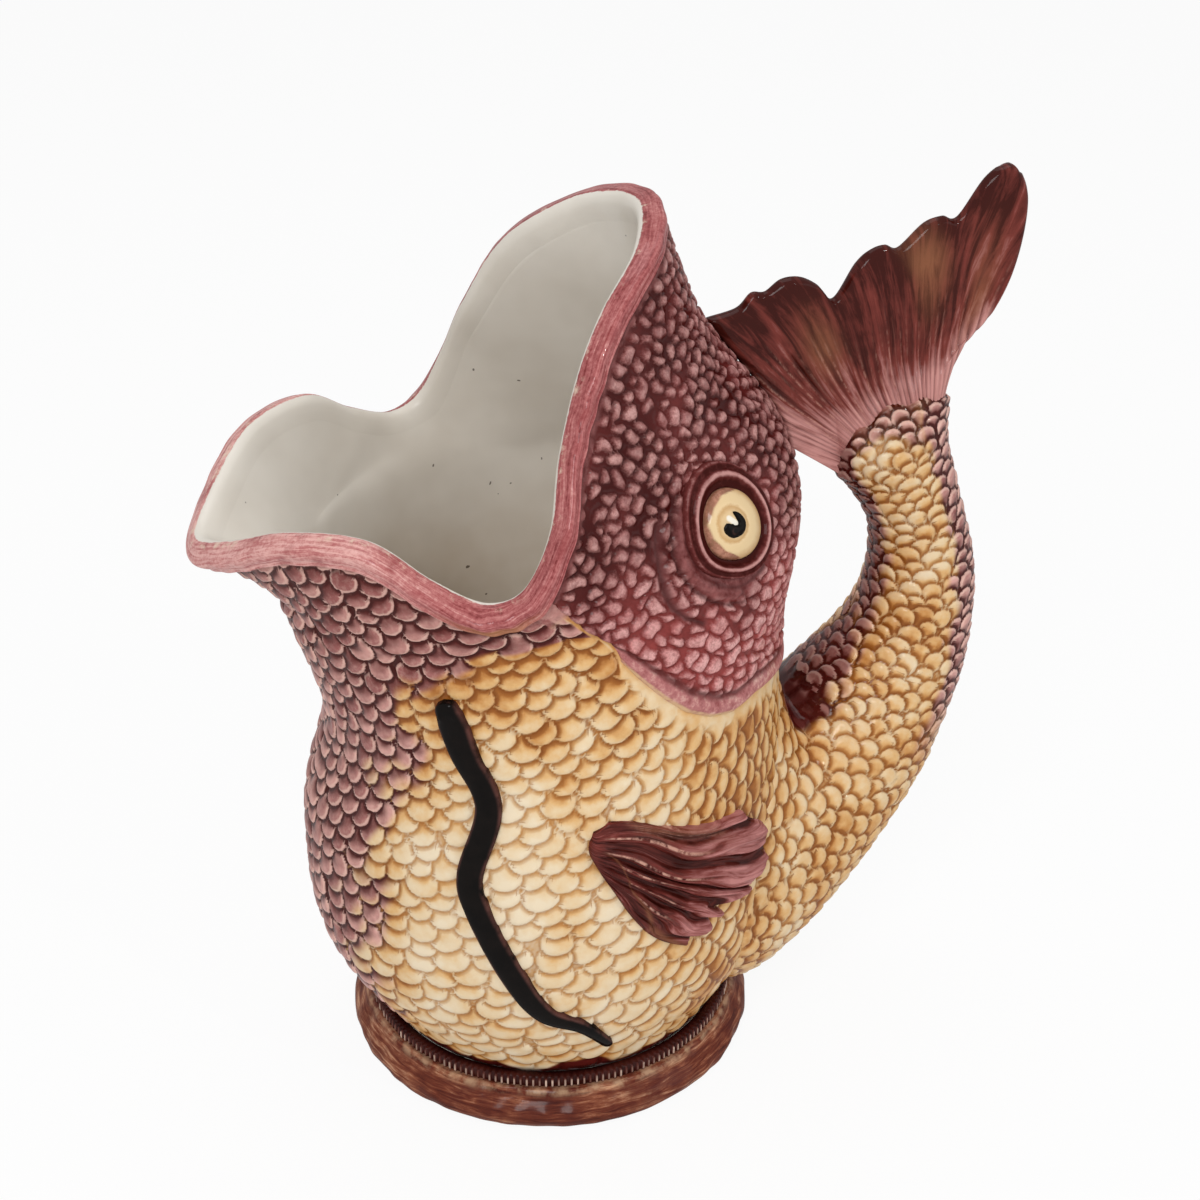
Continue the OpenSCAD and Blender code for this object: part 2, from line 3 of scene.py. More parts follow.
import bmesh
import bpy
import numpy as np
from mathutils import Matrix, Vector


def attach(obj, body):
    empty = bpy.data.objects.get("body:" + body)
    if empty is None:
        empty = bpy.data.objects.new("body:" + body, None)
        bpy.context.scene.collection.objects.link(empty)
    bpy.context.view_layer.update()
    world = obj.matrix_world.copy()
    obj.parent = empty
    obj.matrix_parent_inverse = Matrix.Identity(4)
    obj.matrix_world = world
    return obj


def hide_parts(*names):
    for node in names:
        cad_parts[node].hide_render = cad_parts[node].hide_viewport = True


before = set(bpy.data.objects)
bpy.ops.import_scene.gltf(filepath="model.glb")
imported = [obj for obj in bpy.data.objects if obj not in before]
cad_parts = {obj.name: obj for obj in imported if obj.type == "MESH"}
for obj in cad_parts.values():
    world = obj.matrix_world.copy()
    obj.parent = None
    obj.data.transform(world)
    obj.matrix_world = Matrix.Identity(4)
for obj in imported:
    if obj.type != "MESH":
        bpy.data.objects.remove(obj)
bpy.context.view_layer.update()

# A majolica gurgle jug in the form of a fish. Sizes are in millimetres and follow the solids; meshes are
# written in metres. On the vessel, s is the angle in degrees from the spout (0) round to the tail (180), and
# t the height from the floor (0) to the rim (1). What comes in pairs is worked out on the far side (y > 0)
# and mirrored to the near side.
MM = 0.001
MIRROR = np.array([1, -1, 1])


# Curves and blends
def mix(a, b, share):
    return a + (b - a) * share


def clamp(x):
    return np.clip(x, 0.0, 1.0)


def smooth(x):
    """0 below 0, 1 above 1, and a soft S between."""
    v = clamp(x)
    return v * v * (3 - 2 * v)


def rise(x, start, width):
    return smooth((x - start) / width)


def fall(x, end, width):
    return smooth((end - x) / width)


def bell(x, middle, width):
    return np.exp(-((x - middle) / width) ** 2)


def rounded(x):
    """A quarter circle, from 0 at an edge to 1 at x = 1 and beyond."""
    return np.sqrt(clamp(1 - (1 - clamp(x)) ** 2))


def unit(v):
    return v / np.maximum(np.linalg.norm(v, axis=-1, keepdims=True), 1e-12)


def cells(a, b):
    return np.meshgrid(a, b, indexing="ij")


def turned(degrees):
    angle = np.radians(degrees)
    return np.cos(angle), np.sin(angle)


def lathe(angle, radius, z):
    return np.stack([radius * np.cos(angle), radius * np.sin(angle), z], -1)


def full_turn(count):
    return np.linspace(0, 2 * np.pi, count, endpoint=False)


def slopes(knots, points):
    result = np.empty_like(points)
    result[0] = (points[1] - points[0]) / (knots[1] - knots[0])
    result[-1] = (points[-1] - points[-2]) / (knots[-1] - knots[-2])
    for i in range(1, len(knots) - 1):
        a, b = knots[i] - knots[i - 1], knots[i + 1] - knots[i]
        result[i] = ((points[i] - points[i - 1]) * (b / a) + (points[i + 1] - points[i]) * (a / b)) / (a + b)
    return result


def hermite(p0, m0, p1, m1, u):
    return (p0 * (2 * u**3 - 3 * u**2 + 1) + m0 * (u**3 - 2 * u**2 + u)
            + p1 * (3 * u**2 - 2 * u**3) + m1 * (u**3 - u**2))


def spline(knots, points, x):
    """A smooth curve through points, (knots, dims), or (knots, len(x), dims) with a curve for each x."""
    knots, points, x = (np.asarray(a, float) for a in (knots, points, x))
    i = np.clip(np.searchsorted(knots, x, side="right") - 1, 0, len(knots) - 2)
    width = (knots[i + 1] - knots[i])[:, None]
    u = (x - knots[i])[:, None] / width
    slope = slopes(knots, points)
    here, ahead = (i, i + 1) if points.ndim == 2 else ((i, np.arange(len(x))), (i + 1, np.arange(len(x))))
    return hermite(points[here], slope[here] * width, points[ahead], slope[ahead] * width, u)


def curve(points, u):
    u = np.asarray(u, float)
    return spline(np.linspace(0, 1, len(points)), points, u.ravel()).reshape(u.shape + (len(points[0]),))


def lengths(points):
    """Distance of each point along the line, from the first one."""
    return np.append(0, np.cumsum(np.linalg.norm(np.diff(points, axis=0), axis=1)))


def resample(points, count):
    """Evenly spaced points along a line of points, and the distance of each along it."""
    points = np.array(points, float)
    along = lengths(points)
    places = np.linspace(0, along[-1], count)
    return np.stack([np.interp(places, along, column) for column in points.T], -1), places


# The vessel's outer surface
WALL, LIP_BAND, LIP_OUT, HEAD_PROUD = 5.0, 8.0, 3.0, 1.6
STEP_S, STEP_T = 0.5, 0.004  # steps for slopes of the surface
# front x, side x, rear x, half width, front z, side z, rear z
RINGS = [(-50, 0, 50, 50, 14, 14, 14), (-67, 0, 66, 62, 42, 42, 42), (-70, 0, 68, 66, 80, 80, 80),
         (-62.5, 0, 64, 64, 115, 128, 140), (-72, -1, 64, 63, 149, 158, 188),
         (-73.5, -9, 40.5, 63.5, 156, 166, 221)]
RING_T = [0, 0.17, 0.37, 0.60, 0.79, 0.90, 1]
# s, x, y, z along the rim, continued past both ends so that it crosses the middle smoothly
RIM = [(0, -94.5, 0, 170), (15, -88, 18, 176.2), (30, -75, 36, 186), (45, -57.5, 49, 188),
       (60, -44, 57, 179.5), (75, -32, 63, 173.5), (90, -21, 65.5, 178), (105, -12.5, 63, 193.5),
       (120, -8, 55, 209.5), (150, 7, 39, 236.5), (165, 21, 24, 247.5), (180, 28.3, 0, 252.5)]
RIM = ([(-s, x, -y, z) for s, x, y, z in (RIM[2], RIM[1])] + RIM
       + [(360 - s, x, -y, z) for s, x, y, z in (RIM[-2], RIM[-3])])
# x, z of the gill edge, seen from the side
GILL = [(-16, 176), (-9, 168.5), (-4, 164.5), (2, 156), (8, 148.5), (14.5, 141.5), (21, 135.5), (28.5, 131),
        (36, 128.6), (44, 129), (52, 127), (60, 124), (90, 121)]
GILL_LOWEST_T, NO_GILL = 0.3, 2.0


def surface(s, t):
    s, t = np.broadcast_arrays(np.asarray(s, float), np.asarray(t, float))
    cos, sin = turned(s.ravel())
    rows = [np.stack([xs + np.where(cos > 0, xf - xs, xs - xr) * cos, w * sin,
                      zs + np.where(cos > 0, zf - zs, zr - zs) * cos * cos], -1)
            for xf, xs, xr, w, zf, zs, zr in RINGS]
    angle = s.ravel() % 360
    rim = spline([r[0] for r in RIM], [r[1:] for r in RIM], folded(angle))
    rim[:, 1] *= np.where(angle > 180, -1, 1)
    return spline(RING_T, np.array(rows + [rim]), t.ravel()).reshape(s.shape + (3,))


def folded(s):
    """The same angle on the far side."""
    return np.where(s > 180, 360 - s, s)


def round_way(s, t):
    """One degree round the surface."""
    return surface(s + STEP_S, t) - surface(s - STEP_S, t)


def normal(s, t):
    up = surface(s, np.minimum(t + STEP_T, 1)) - surface(s, np.maximum(t - STEP_T, 0))
    return unit(np.cross(up, round_way(s, t)))


def skin(s, t, height):
    """Points at a height off the surface."""
    return surface(s, t) + normal(s, t) * np.asarray(height)[..., None]


def nearby(s, t, across, up):
    """Angle and height of the place that lies so many mm round and up the surface from (s, t)."""
    one_round = round_way(s, t)
    one_up = (surface(s, t + STEP_T) - surface(s, t - STEP_T)) / (2 * STEP_T)
    way = unit(one_round)
    skew = (one_up * way).sum(-1)
    square = np.linalg.norm(one_up - way * skew[..., None], axis=-1)
    return s + (across - skew * up / square) / np.linalg.norm(one_round, axis=-1), t + up / square


def t_per_mm(s):
    """How much t one mm takes just below the rim."""
    return 0.04 / np.linalg.norm(surface(s, 1.0) - surface(s, 0.96), axis=-1)


# Tables over s and t: points of the surface, and mm up the surface from the floor
TABLE_S, TABLE_T = np.linspace(0, 180, 181), np.linspace(0, 1, 201)
TABLE_POINTS = surface(*cells(TABLE_S, TABLE_T))
TABLE_UP = np.stack([lengths(column) for column in TABLE_POINTS])


def table(values, s, t):
    """Reads a table at (s, t)."""
    a, b = np.clip(s, 0, 179.999), np.clip(t, 0, 0.99999) * (len(TABLE_T) - 1)
    i, j = a.astype(int), b.astype(int)
    x, y = a - i, b - j
    return (values[i, j] * (1 - x) * (1 - y) + values[i + 1, j] * x * (1 - y)
            + values[i, j + 1] * (1 - x) * y + values[i + 1, j + 1] * x * y)


def up_mm(s, t):
    return table(TABLE_UP, s, t)


def gill_heights():
    """Height t where the surface first passes the gill line, for each angle of the table."""
    x, z = TABLE_POINTS[..., 0], TABLE_POINTS[..., 2]
    above = z - np.interp(x, *zip(*GILL))
    past = (above > 0) & (x > GILL[0][0]) & (TABLE_T > GILL_LOWEST_T)
    heights = np.full(len(TABLE_S), NO_GILL)
    for i in np.flatnonzero(past.any(1)):
        j = past[i].argmax()
        before, after = above[i, j - 1], above[i, j]
        heights[i] = mix(TABLE_T[j - 1], TABLE_T[j], clamp(-before / (after - before + 1e-9)))
    return heights


LIP_T, GILL_T = 1 - LIP_BAND * t_per_mm(TABLE_S), gill_heights()
# The head starts at this angle, under the lip at the mouth's corner
HEAD_S0 = float(TABLE_S[np.argmax(GILL_T < LIP_T)])
# How much of the lip's band shows: the roll is slimmer along the head
LIP_SHARE_S, LIP_SHARE = [0, 60, 82, 108, 180], [0.80, 0.80, 0.78, 0.62, 0.60]


def lip_share(s):
    return np.interp(folded(s), LIP_SHARE_S, LIP_SHARE)


def lip_t(s):
    """Height of the lip's lower edge."""
    return 1 - (1 - np.interp(s, TABLE_S, LIP_T)) * lip_share(s)


def gill_t(s):
    """Height of the gill edge, or of the lip where there is no gill."""
    return np.interp(s, TABLE_S, np.minimum(GILL_T, LIP_T))


# Patterns
class Waves:
    """A smooth random field over points, from a sum of plane waves."""

    def __init__(self, seed, size, count=14):
        draw = np.random.default_rng(seed)
        ways, spread = unit(draw.normal(size=(count, 3))), draw.uniform(0.6, 1.7, (count, 1))
        self.wave = ways * (2 * np.pi / size) * spread
        self.phase = draw.uniform(0, 2 * np.pi, count)

    def __call__(self, points):
        return np.sin(points @ self.wave.T + self.phase).sum(-1) / math.sqrt(len(self.phase) / 2)


blotch = Waves(5, 22)
ripple = Waves(6, 7)


def lay(points, ahead, order, wide, long, seed):
    """Packs scales over the points like bricks, from upstream down. The free edges point ahead; wide and long
    are the least spacing in mm. Returns the numbers of the points chosen as centres."""
    key = order + np.random.default_rng(seed).normal(size=len(points)) * 0.9
    free = np.ones(len(points), bool)
    chosen = []
    for i in np.argsort(key):
        if free[i]:
            chosen.append(i)
            away = points - points[i]
            ahead2 = (away @ ahead[i]) ** 2
            free &= ((away * away).sum(1) - ahead2) / wide[i] ** 2 + ahead2 / long[i] ** 2 > 1
    return np.array(chosen)


def around(points, centres, ahead, across, draws, twist, count):
    """For each batch of the points: the nearest centres, and how far across and upstream of each one the
    point lies in mm. Each centre is turned a little by its own random number."""
    for batch in np.array_split(points, max(1, len(points) // 15000)):
        far = (points[centres] ** 2).sum(1)[None, :] - 2 * batch @ points[centres].T
        near = np.argpartition(far, count, axis=1)[:, :count]
        c = centres[near]
        away = batch[:, None] - points[c]
        angle = (draws[near, 0] - 0.5) * 2 * twist
        x, y = (away * across[c]).sum(-1), -(away * ahead[c]).sum(-1)
        yield near, c, x * np.cos(angle) + y * np.sin(angle), y * np.cos(angle) - x * np.sin(angle)


def outline_mm(x, y, level, wide):
    """About how far (x, y) lies outside an outline where level is 1, below zero inside."""
    return np.where(level < 0.02, -0.6 * wide, np.hypot(x, y) * (1 - 1 / np.maximum(level, 0.02)))


def scales(points, ahead, across, order, wide, long, seed, vary=0.16, twist=0.26, count=12):
    """Overlapping scales on the points of a surface.
    h: height; sd: mm from the nearest edge, below zero where that is the scale's own edge; near: the same
    without a sign; cov: mm from a scale that covers this one; deep: 0 at the own edge, 1 where it goes under
    another; corner: 1 where edges meet; along: place along the scale; tone: random for each scale."""
    centres = lay(points, ahead, order, wide, long, seed)
    draws = np.random.default_rng(seed + 1).random((len(centres), 4))
    parts = []
    for near, c, x, y in around(points, centres, ahead, across, draws, twist, count):
        size = 1 + (draws[near, 1] - 0.5) * 2 * vary
        level = np.sqrt((np.abs(x) / (0.60 * wide[c] * size)) ** 2.3
                        + (np.abs(y) / (np.where(y < 0, 0.78, 0.86) * long[c] * size)) ** 2)
        parts.append((level, outline_mm(x, y, level, wide[c]), order[c], draws[near, 2], y / long[c]))
    level, outside, turn, tone, along = (np.concatenate(part) for part in zip(*parts))
    inside = np.where(level < 1, turn, np.inf)
    each, own = np.arange(len(points)), inside.argmin(1)
    bare = ~np.isfinite(inside[each, own])
    own_mm = np.where(bare, 0, -outside[each, own])
    over = np.where((turn < turn[each, own][:, None]) & (level >= 1), outside, 9.0)
    over_mm = over.min(1)
    cov = np.clip(-1.1 * np.log(np.exp(-over / 1.1).sum(1)), 0, 4)
    sd = np.where(bare, np.clip(outside.min(1), 0.2, 3), np.where(own_mm < over_mm, -own_mm, over_mm))
    return dict(h=rounded(own_mm / 1.6) * (0.35 + 0.65 * clamp(cov / 3.0) ** 0.7), sd=np.clip(sd, -3, 3),
                near=np.clip(np.minimum(own_mm, over_mm), 0, 3), cov=cov, tone=tone[each, own],
                corner=np.where(bare, 1, np.exp(-np.maximum(own_mm, over_mm) / 1.1)),
                deep=np.where(bare, 1, own_mm / np.maximum(own_mm + over_mm, 0.05)),
                along=np.clip(along[each, own], -1, 1))


def bumps(points, ahead, across, order, wide, long, seed, vary=0.30, twist=0.9, count=7, gap=0.6):
    """Separate rounded bumps.
    h: height; sd: mm from the nearest outline, below zero on the bump; tone: random for each bump."""
    centres = lay(points, ahead, order, wide, long, seed)
    points = points + 0.34 * np.stack([Waves(seed + i, 5.5)(points) for i in (2, 3, 4)], -1)
    draws = np.random.default_rng(seed + 1).random((len(centres), 4))
    sd, tone = [], []
    for near, c, x, y in around(points, centres, ahead, across, draws, twist, count):
        size = 0.58 * (1 + (draws[near, 1] - 0.5) * 2 * vary)
        outside = outline_mm(x, y, np.hypot(x / (wide[c] * size), y / (long[c] * size)), wide[c])
        two = np.sort(outside, axis=1)[:, :2]
        sd.append(np.maximum(two[:, 0], (gap - two[:, 1] + two[:, 0]) / 2))
        tone.append(draws[near, 2][np.arange(len(outside)), outside.argmin(1)])
    sd = np.concatenate(sd)
    return dict(h=rounded(-sd / 1.3), sd=np.clip(sd, -3, 3), tone=np.concatenate(tone))


HEAD_DEGREE_MM = 1.1  # mm round the head to one degree


def near_line(s, up, path_s, path_up):
    """Distance in mm from places on the head to a line of places."""
    points = np.stack([s * HEAD_DEGREE_MM, up], -1)
    path = np.stack([path_s * HEAD_DEGREE_MM, path_up], -1)
    best = np.full(len(points), np.inf)
    for a, b in zip(path[:-1], path[1:]):
        step = b - a
        share = clamp(((points - a) @ step) / (step @ step))
        best = np.minimum(best, np.linalg.norm(points - a - share[:, None] * step, axis=-1))
    return best


# Meshes
WHOLE_MAP = (0.003, 0.003, 0.997, 0.997)  # a grid's rectangle of the UV map
EDGE_MAP = 0.0018  # width of a joining strip on it


class Build:
    """Collects grids of points with values into one closed mesh with a UV map."""

    def __init__(self):
        self.points, self.faces, self.places, self.home, self.values, self.count = [], [], [], [], {}, 0

    def grid(self, points, rect=WHOLE_MAP, wrap=False, **values):
        """An n by m grid of points; wrap joins its last row to the first. Returns the points' numbers."""
        n, m = points.shape[:2]
        span = n if wrap else n - 1

        def spot(i, j):
            return np.stack([mix(rect[0], rect[2], i / span), mix(rect[1], rect[3], j / (m - 1))], -1)

        i, j = (a.ravel() for a in cells(np.arange(span), np.arange(m - 1)))
        i, j = np.stack([i, i + 1, i + 1, i], -1), np.stack([j, j, j + 1, j + 1], -1)
        self.faces.append((i % n) * m + j + self.count)
        self.places.append(spot(i, j))
        i, j = (a.ravel() for a in cells(np.arange(n), np.arange(m)))
        off = np.stack([i / span - 0.5, j / (m - 1) - 0.5], -1)
        off = np.where(np.abs(off) >= np.abs(off).max(-1, keepdims=True), np.sign(off), 0) * EDGE_MAP
        self.home.append(np.concatenate([spot(i, j), off], -1))
        self.points.append(points.reshape(-1, 3))
        for name, value in values.items():
            value = np.full(n * m, value) if np.ndim(value) == 0 else np.asarray(value, float)
            self.values.setdefault(name, []).append((self.count, value.reshape(n * m, -1)))
        self.count += n * m
        return np.arange(self.count - n * m, self.count).reshape(n, m)

    def strip(self, a, b, close=False):
        """Quads between two equal rows of point numbers, mapped just outside the first row's rectangle."""
        home = np.concatenate(self.home)[a]
        spot, off = home[:, :2], home[:, 2:]
        if close:
            a, b = np.append(a, a[0]), np.append(b, b[0])
            spot, off = np.vstack([spot, 2 * spot[-1] - spot[-2]]), np.vstack([off, off[-1]])
        out = spot + off
        self.faces.append(np.stack([a[:-1], a[1:], b[1:], b[:-1]], -1))
        self.places.append(np.stack([spot[:-1], spot[1:], out[1:], out[:-1]], 1))

    def polygon(self, ring):
        """One face round a ring of points, mapped to a small disc outside the rectangle."""
        home = np.concatenate(self.home)[ring[0]]
        disc = lathe(full_turn(len(ring)), 0.4 * EDGE_MAP, np.zeros(len(ring)))
        self.faces.append(np.array([ring]))
        self.places.append((home[:2] + home[2:] * 0.5 + disc[:, :2])[None])

    def seam(self, a, b):
        """Faces between a long row of points and a short one that runs beside it."""
        pick = np.linspace(0, len(a) - 1, len(b)).round().astype(int)
        for j in range(len(b) - 1):
            self.polygon(list(a[pick[j]:pick[j + 1] + 1]) + [b[j + 1], b[j]])

    def pair(self, front, back, split, wrap, values, back_values):
        """The two sheets of a piece, mapped below and above a share of the UV map's height."""
        low, high = WHOLE_MAP[0], WHOLE_MAP[2]
        below = self.grid(front, (low, low, high, split - low), wrap, **values)
        return below, self.grid(back, (low, split + low, high, high), wrap, **back_values)

    def shell(self, front, back, split, back_values, wrap=False, **values):
        """Two sheets joined along all their open edges."""
        a, b = self.pair(front, back, split, wrap, values, back_values)
        self.strip(a[:, 0], b[:, 0], wrap)
        self.strip(a[:, -1], b[:, -1], wrap)
        if not wrap:
            join = self.strip if a.shape == b.shape else self.seam
            join(a[0], b[0])
            join(a[-1], b[-1])
        return self

    def bowl(self, front, back, split, back_values, **values):
        """Two round sheets joined at the rim, their last column, and closed in the middle, their first."""
        a, b = self.pair(front, back, split, True, values, back_values)
        self.strip(a[:, -1], b[:, -1], True)
        self.polygon(a[:, 0])
        self.polygon(b[:, 0])
        return self

    def roll(self, points, **values):
        """A ring whose section is closed from its last column to its first."""
        numbers = self.grid(points, wrap=True, **values)
        self.strip(numbers[:, -1], numbers[:, 0], True)
        return self

    def object(self, name, material, slot, replaces=(), mirror=False):
        points = np.concatenate(self.points) * MM * (MIRROR if mirror else 1)
        corners = np.concatenate([faces.ravel() for faces in self.faces])
        places = np.concatenate([place.reshape(-1, 2) for place in self.places])
        sizes = np.concatenate([np.full(len(faces), faces.shape[1]) for faces in self.faces])
        mesh = bpy.data.meshes.new(name)
        mesh.vertices.add(len(points))
        mesh.vertices.foreach_set("co", points.ravel())
        mesh.loops.add(len(corners))
        mesh.loops.foreach_set("vertex_index", corners.astype(np.int32))
        mesh.polygons.add(len(sizes))
        mesh.polygons.foreach_set("loop_start", (np.cumsum(sizes) - sizes).astype(np.int32))
        mesh.update(calc_edges=True)
        mesh.uv_layers.new(name="OFBake").data.foreach_set("uv", places.astype(np.float32).ravel())
        for key, parts in self.values.items():
            dims = parts[0][1].shape[1]
            full = np.zeros((len(points), dims), np.float32)
            for first, values in parts:
                full[first:first + len(values)] = values
            kind, field = ("FLOAT_VECTOR", "vector") if dims == 3 else ("FLOAT", "value")
            mesh.attributes.new(key, kind, "POINT").data.foreach_set(field, full.ravel())
        mesh.validate()
        outward = bmesh.new()
        outward.from_mesh(mesh)
        bmesh.ops.recalc_face_normals(outward, faces=outward.faces)
        outward.to_mesh(mesh)
        outward.free()
        mesh.shade_smooth()
        mesh.materials.append(material)
        piece = bpy.data.objects.new(name, mesh)
        bpy.context.scene.collection.objects.link(piece)
        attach(piece, "root")
        if replaces:
            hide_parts(*replaces)


# Materials
def rgb(r, g, b):
    c = np.array([r, g, b]) / 255
    return tuple(np.where(c <= 0.04045, c / 12.92, ((c + 0.055) / 1.055) ** 2.4)) + (1.0,)


class Glaze:
    """A glazed clay material built from nodes. The gloss is all in the coat."""

    def __init__(self, name, coat=0.20, coat_rough=0.03):
        self.material = bpy.data.materials.new(name)
        self.material.use_nodes = True
        self.tree = self.material.node_tree
        self.shader = self.tree.nodes["Principled BSDF"]
        self.shader.inputs["Coat Weight"].default_value = coat
        self.shader.inputs["Coat Roughness"].default_value = coat_rough
        self.shader.inputs["Specular IOR Level"].default_value = 0.0
        self.where = self.tree.nodes.new("ShaderNodeTexCoord").outputs["Object"]

    def put(self, socket, value):
        if isinstance(value, bpy.types.NodeSocket):
            self.tree.links.new(value, socket)
        elif socket.type == "RGBA" and not isinstance(value, tuple):
            socket.default_value = (value, value, value, 1)
        else:
            socket.default_value = value

    def value(self, name, out="Fac"):
        """A value that the mesh carries."""
        node = self.tree.nodes.new("ShaderNodeAttribute")
        node.attribute_name = name
        return node.outputs[out]

    def values(self, names):
        return [self.value(name) for name in names.split()]

    def noise(self, size_mm, detail=4.0, rough=0.6):
        return self.cloud(self.where, 1 / (size_mm * MM), detail, rough, 0.0)

    def streaks(self, detail, rough, distort):
        """Brush marks along the piece, on the places that the mesh carries as flow."""
        return self.cloud(self.value("flow", "Vector"), 1.0, detail, rough, distort)

    def cloud(self, where, scale, detail, rough, distort):
        node = self.tree.nodes.new("ShaderNodeTexNoise")
        self.put(node.inputs["Vector"], where)
        for key, number in (("Scale", scale), ("Detail", detail), ("Roughness", rough),
                            ("Distortion", distort)):
            node.inputs[key].default_value = number
        return node.outputs["Fac"]

    def ramp(self, share, *stops):
        node = self.tree.nodes.new("ShaderNodeValToRGB")
        elements = node.color_ramp.elements
        while len(elements) < len(stops):
            elements.new(0.5)
        for element, (at, colour) in zip(elements, stops):
            element.position = at
            element.color = colour if isinstance(colour, tuple) else (colour, colour, colour, 1)
        self.put(node.inputs["Fac"], share)
        return node.outputs["Color"]

    def mix(self, share, a, b):
        node = self.tree.nodes.new("ShaderNodeMix")
        node.data_type = "RGBA"
        for socket, value in ((node.inputs["Factor"], share), (node.inputs[6], a), (node.inputs[7], b)):
            self.put(socket, value)
        return node.outputs[2]

    def math(self, operation, a, b, clamped=False):
        node = self.tree.nodes.new("ShaderNodeMath")
        node.operation = operation
        node.use_clamp = clamped
        self.put(node.inputs[0], a)
        self.put(node.inputs[1], b)
        return node.outputs[0]

    def times(self, a, b):
        return self.math("MULTIPLY", a, b)

    def plus(self, a, b, clamped=False):
        return self.math("ADD", a, b, clamped)

    def spread(self, share, low, high, out_low=0.0, out_high=1.0):
        node = self.tree.nodes.new("ShaderNodeMapRange")
        self.put(node.inputs["Value"], share)
        for key, number in (("From Min", low), ("From Max", high), ("To Min", out_low), ("To Max", out_high)):
            node.inputs[key].default_value = number
        return node.outputs["Result"]

    def over(self, noise, low, high):
        """Spreads the middle of a noise from low to high."""
        return self.spread(noise, 0.3, 0.7, low, high)

    def sway(self, noise, amount):
        return self.over(noise, -amount, amount)

    def finish(self, colour, height, strength, depth_mm, rough):
        bump = self.tree.nodes.new("ShaderNodeBump")
        bump.inputs["Strength"].default_value = strength
        bump.inputs["Distance"].default_value = depth_mm * MM
        self.put(bump.inputs["Height"], height)
        self.put(self.shader.inputs["Normal"], bump.outputs["Normal"])
        self.put(self.shader.inputs["Base Color"], colour)
        self.put(self.shader.inputs["Roughness"], rough)
        return self.material


def scaled_glaze(name):
    """Cream scales with amber in the gaps, turning to mauve scales with maroon gaps where zone is 1; the gaps
    are partly painted shade and the free edges carry a painted highlight.
    """
    g = Glaze(name, 0.30, 0.04)
    sd, near, cov, tone, zone, amber, plain, corner, deep = g.values(
        "sd near cov tone zone amber plain corner deep")
    cloud, fine, mid = g.noise(14, 3), g.noise(1.3, 5, 0.65), g.noise(4.5, 4, 0.6)
    place = g.spread(g.plus(sd, g.sway(fine, 0.16)), -3, 3)
    marked = g.math("SUBTRACT", 1.0, plain, True)
    guard = g.times(g.spread(near, 0.8, 1.4, 1, 0), marked)
    wide_guard = g.times(g.spread(near, 1.1, 1.6, 1, 0), marked)
    below = g.times(g.spread(deep, 0.38, 0.75), marked)
    # where scale edges meet: a darker glaze stain on the cream, painted shade on the mauve
    corner_stain_and_shade = g.times(g.spread(corner, 0.18, 0.62), marked)
    line = g.ramp(place, (0.46, 0.0), (0.495, 0.6), (0.55, 1.0), (0.64, 0.55), (0.78, 0.12), (0.9, 0.0))
    line = g.math("MAXIMUM", g.times(line, wide_guard), g.times(corner_stain_and_shade, 0.6))
    # the covered part of each scale turns amber under the scale above: partly a glaze stain, partly painted
    # shade
    under = g.times(g.math("POWER", g.spread(cov, 0, 3.6, 1, 0), 1.4), below)
    # painted highlight along each free edge
    rim = g.times(g.ramp(place, (0.30, 0.0), (0.40, 1.0), (0.475, 0.7), (0.50, 0.0)), wide_guard)
    # cream scales
    level = g.plus(g.plus(amber, g.sway(cloud, 0.15)), g.sway(mid, 0.16))
    level = g.plus(level, g.spread(tone, 0, 1, -0.10, 0.10))
    level = g.plus(level, g.times(under, g.spread(amber, 0, 0.8, 0.38, 0.58)), True)
    cream = g.ramp(level, (0.0, rgb(238, 220, 190)), (0.30, rgb(232, 205, 164)), (0.58, rgb(224, 180, 122)),
                   (0.82, rgb(200, 142, 80)), (1.0, rgb(164, 102, 46)))
    cream = g.mix(g.times(rim, 0.10), cream, rgb(240, 224, 194))
    ochre = g.mix(g.spread(amber, 0.15, 0.55), rgb(170, 112, 56), rgb(128, 70, 24))
    cream = g.mix(g.times(line, g.spread(amber, 0.1, 0.6, 0.72, 0.94)), cream, ochre)
    # mauve scales
    mauve = g.mix(g.spread(tone, 0, 1), rgb(156, 94, 90), rgb(220, 166, 156))
    mauve = g.mix(g.spread(mid, 0.42, 0.70, 0.0, 0.5), mauve, rgb(124, 66, 63))
    mauve = g.mix(g.spread(fine, 0.45, 0.70, 0.0, 0.35), mauve, rgb(220, 176, 164))
    # painted highlight on the mauve free edges
    mauve = g.mix(g.times(rim, 0.60), mauve, rgb(242, 202, 186))
    # the gaps under the scale above turn dark maroon: partly the maroon ground, partly painted shade
    gap = g.times(g.math("POWER", g.spread(cov, 0.2, 4.6, 1, 0), 0.75), below)
    mauve = g.mix(gap, mauve, rgb(84, 25, 21))
    shadow = g.times(guard, g.ramp(place, (0.46, 0.0), (0.50, 1.0), (0.6, 0.9), (0.7, 0.0)))
    mauve = g.mix(g.math("MAXIMUM", corner_stain_and_shade, shadow), mauve, rgb(66, 16, 12))
    height = g.ramp(place, (0.25, 0.75), (0.40, 0.85), (0.46, 0.70), (0.50, 0.25), (0.54, 0.0), (0.75, 0.62))
    height = g.plus(g.mix(guard, 0.62, height), g.sway(fine, 0.07))
    return g.finish(g.mix(zone, cream, mauve), height, 0.45, 0.45, g.over(g.noise(3, 3), 0.14, 0.28))


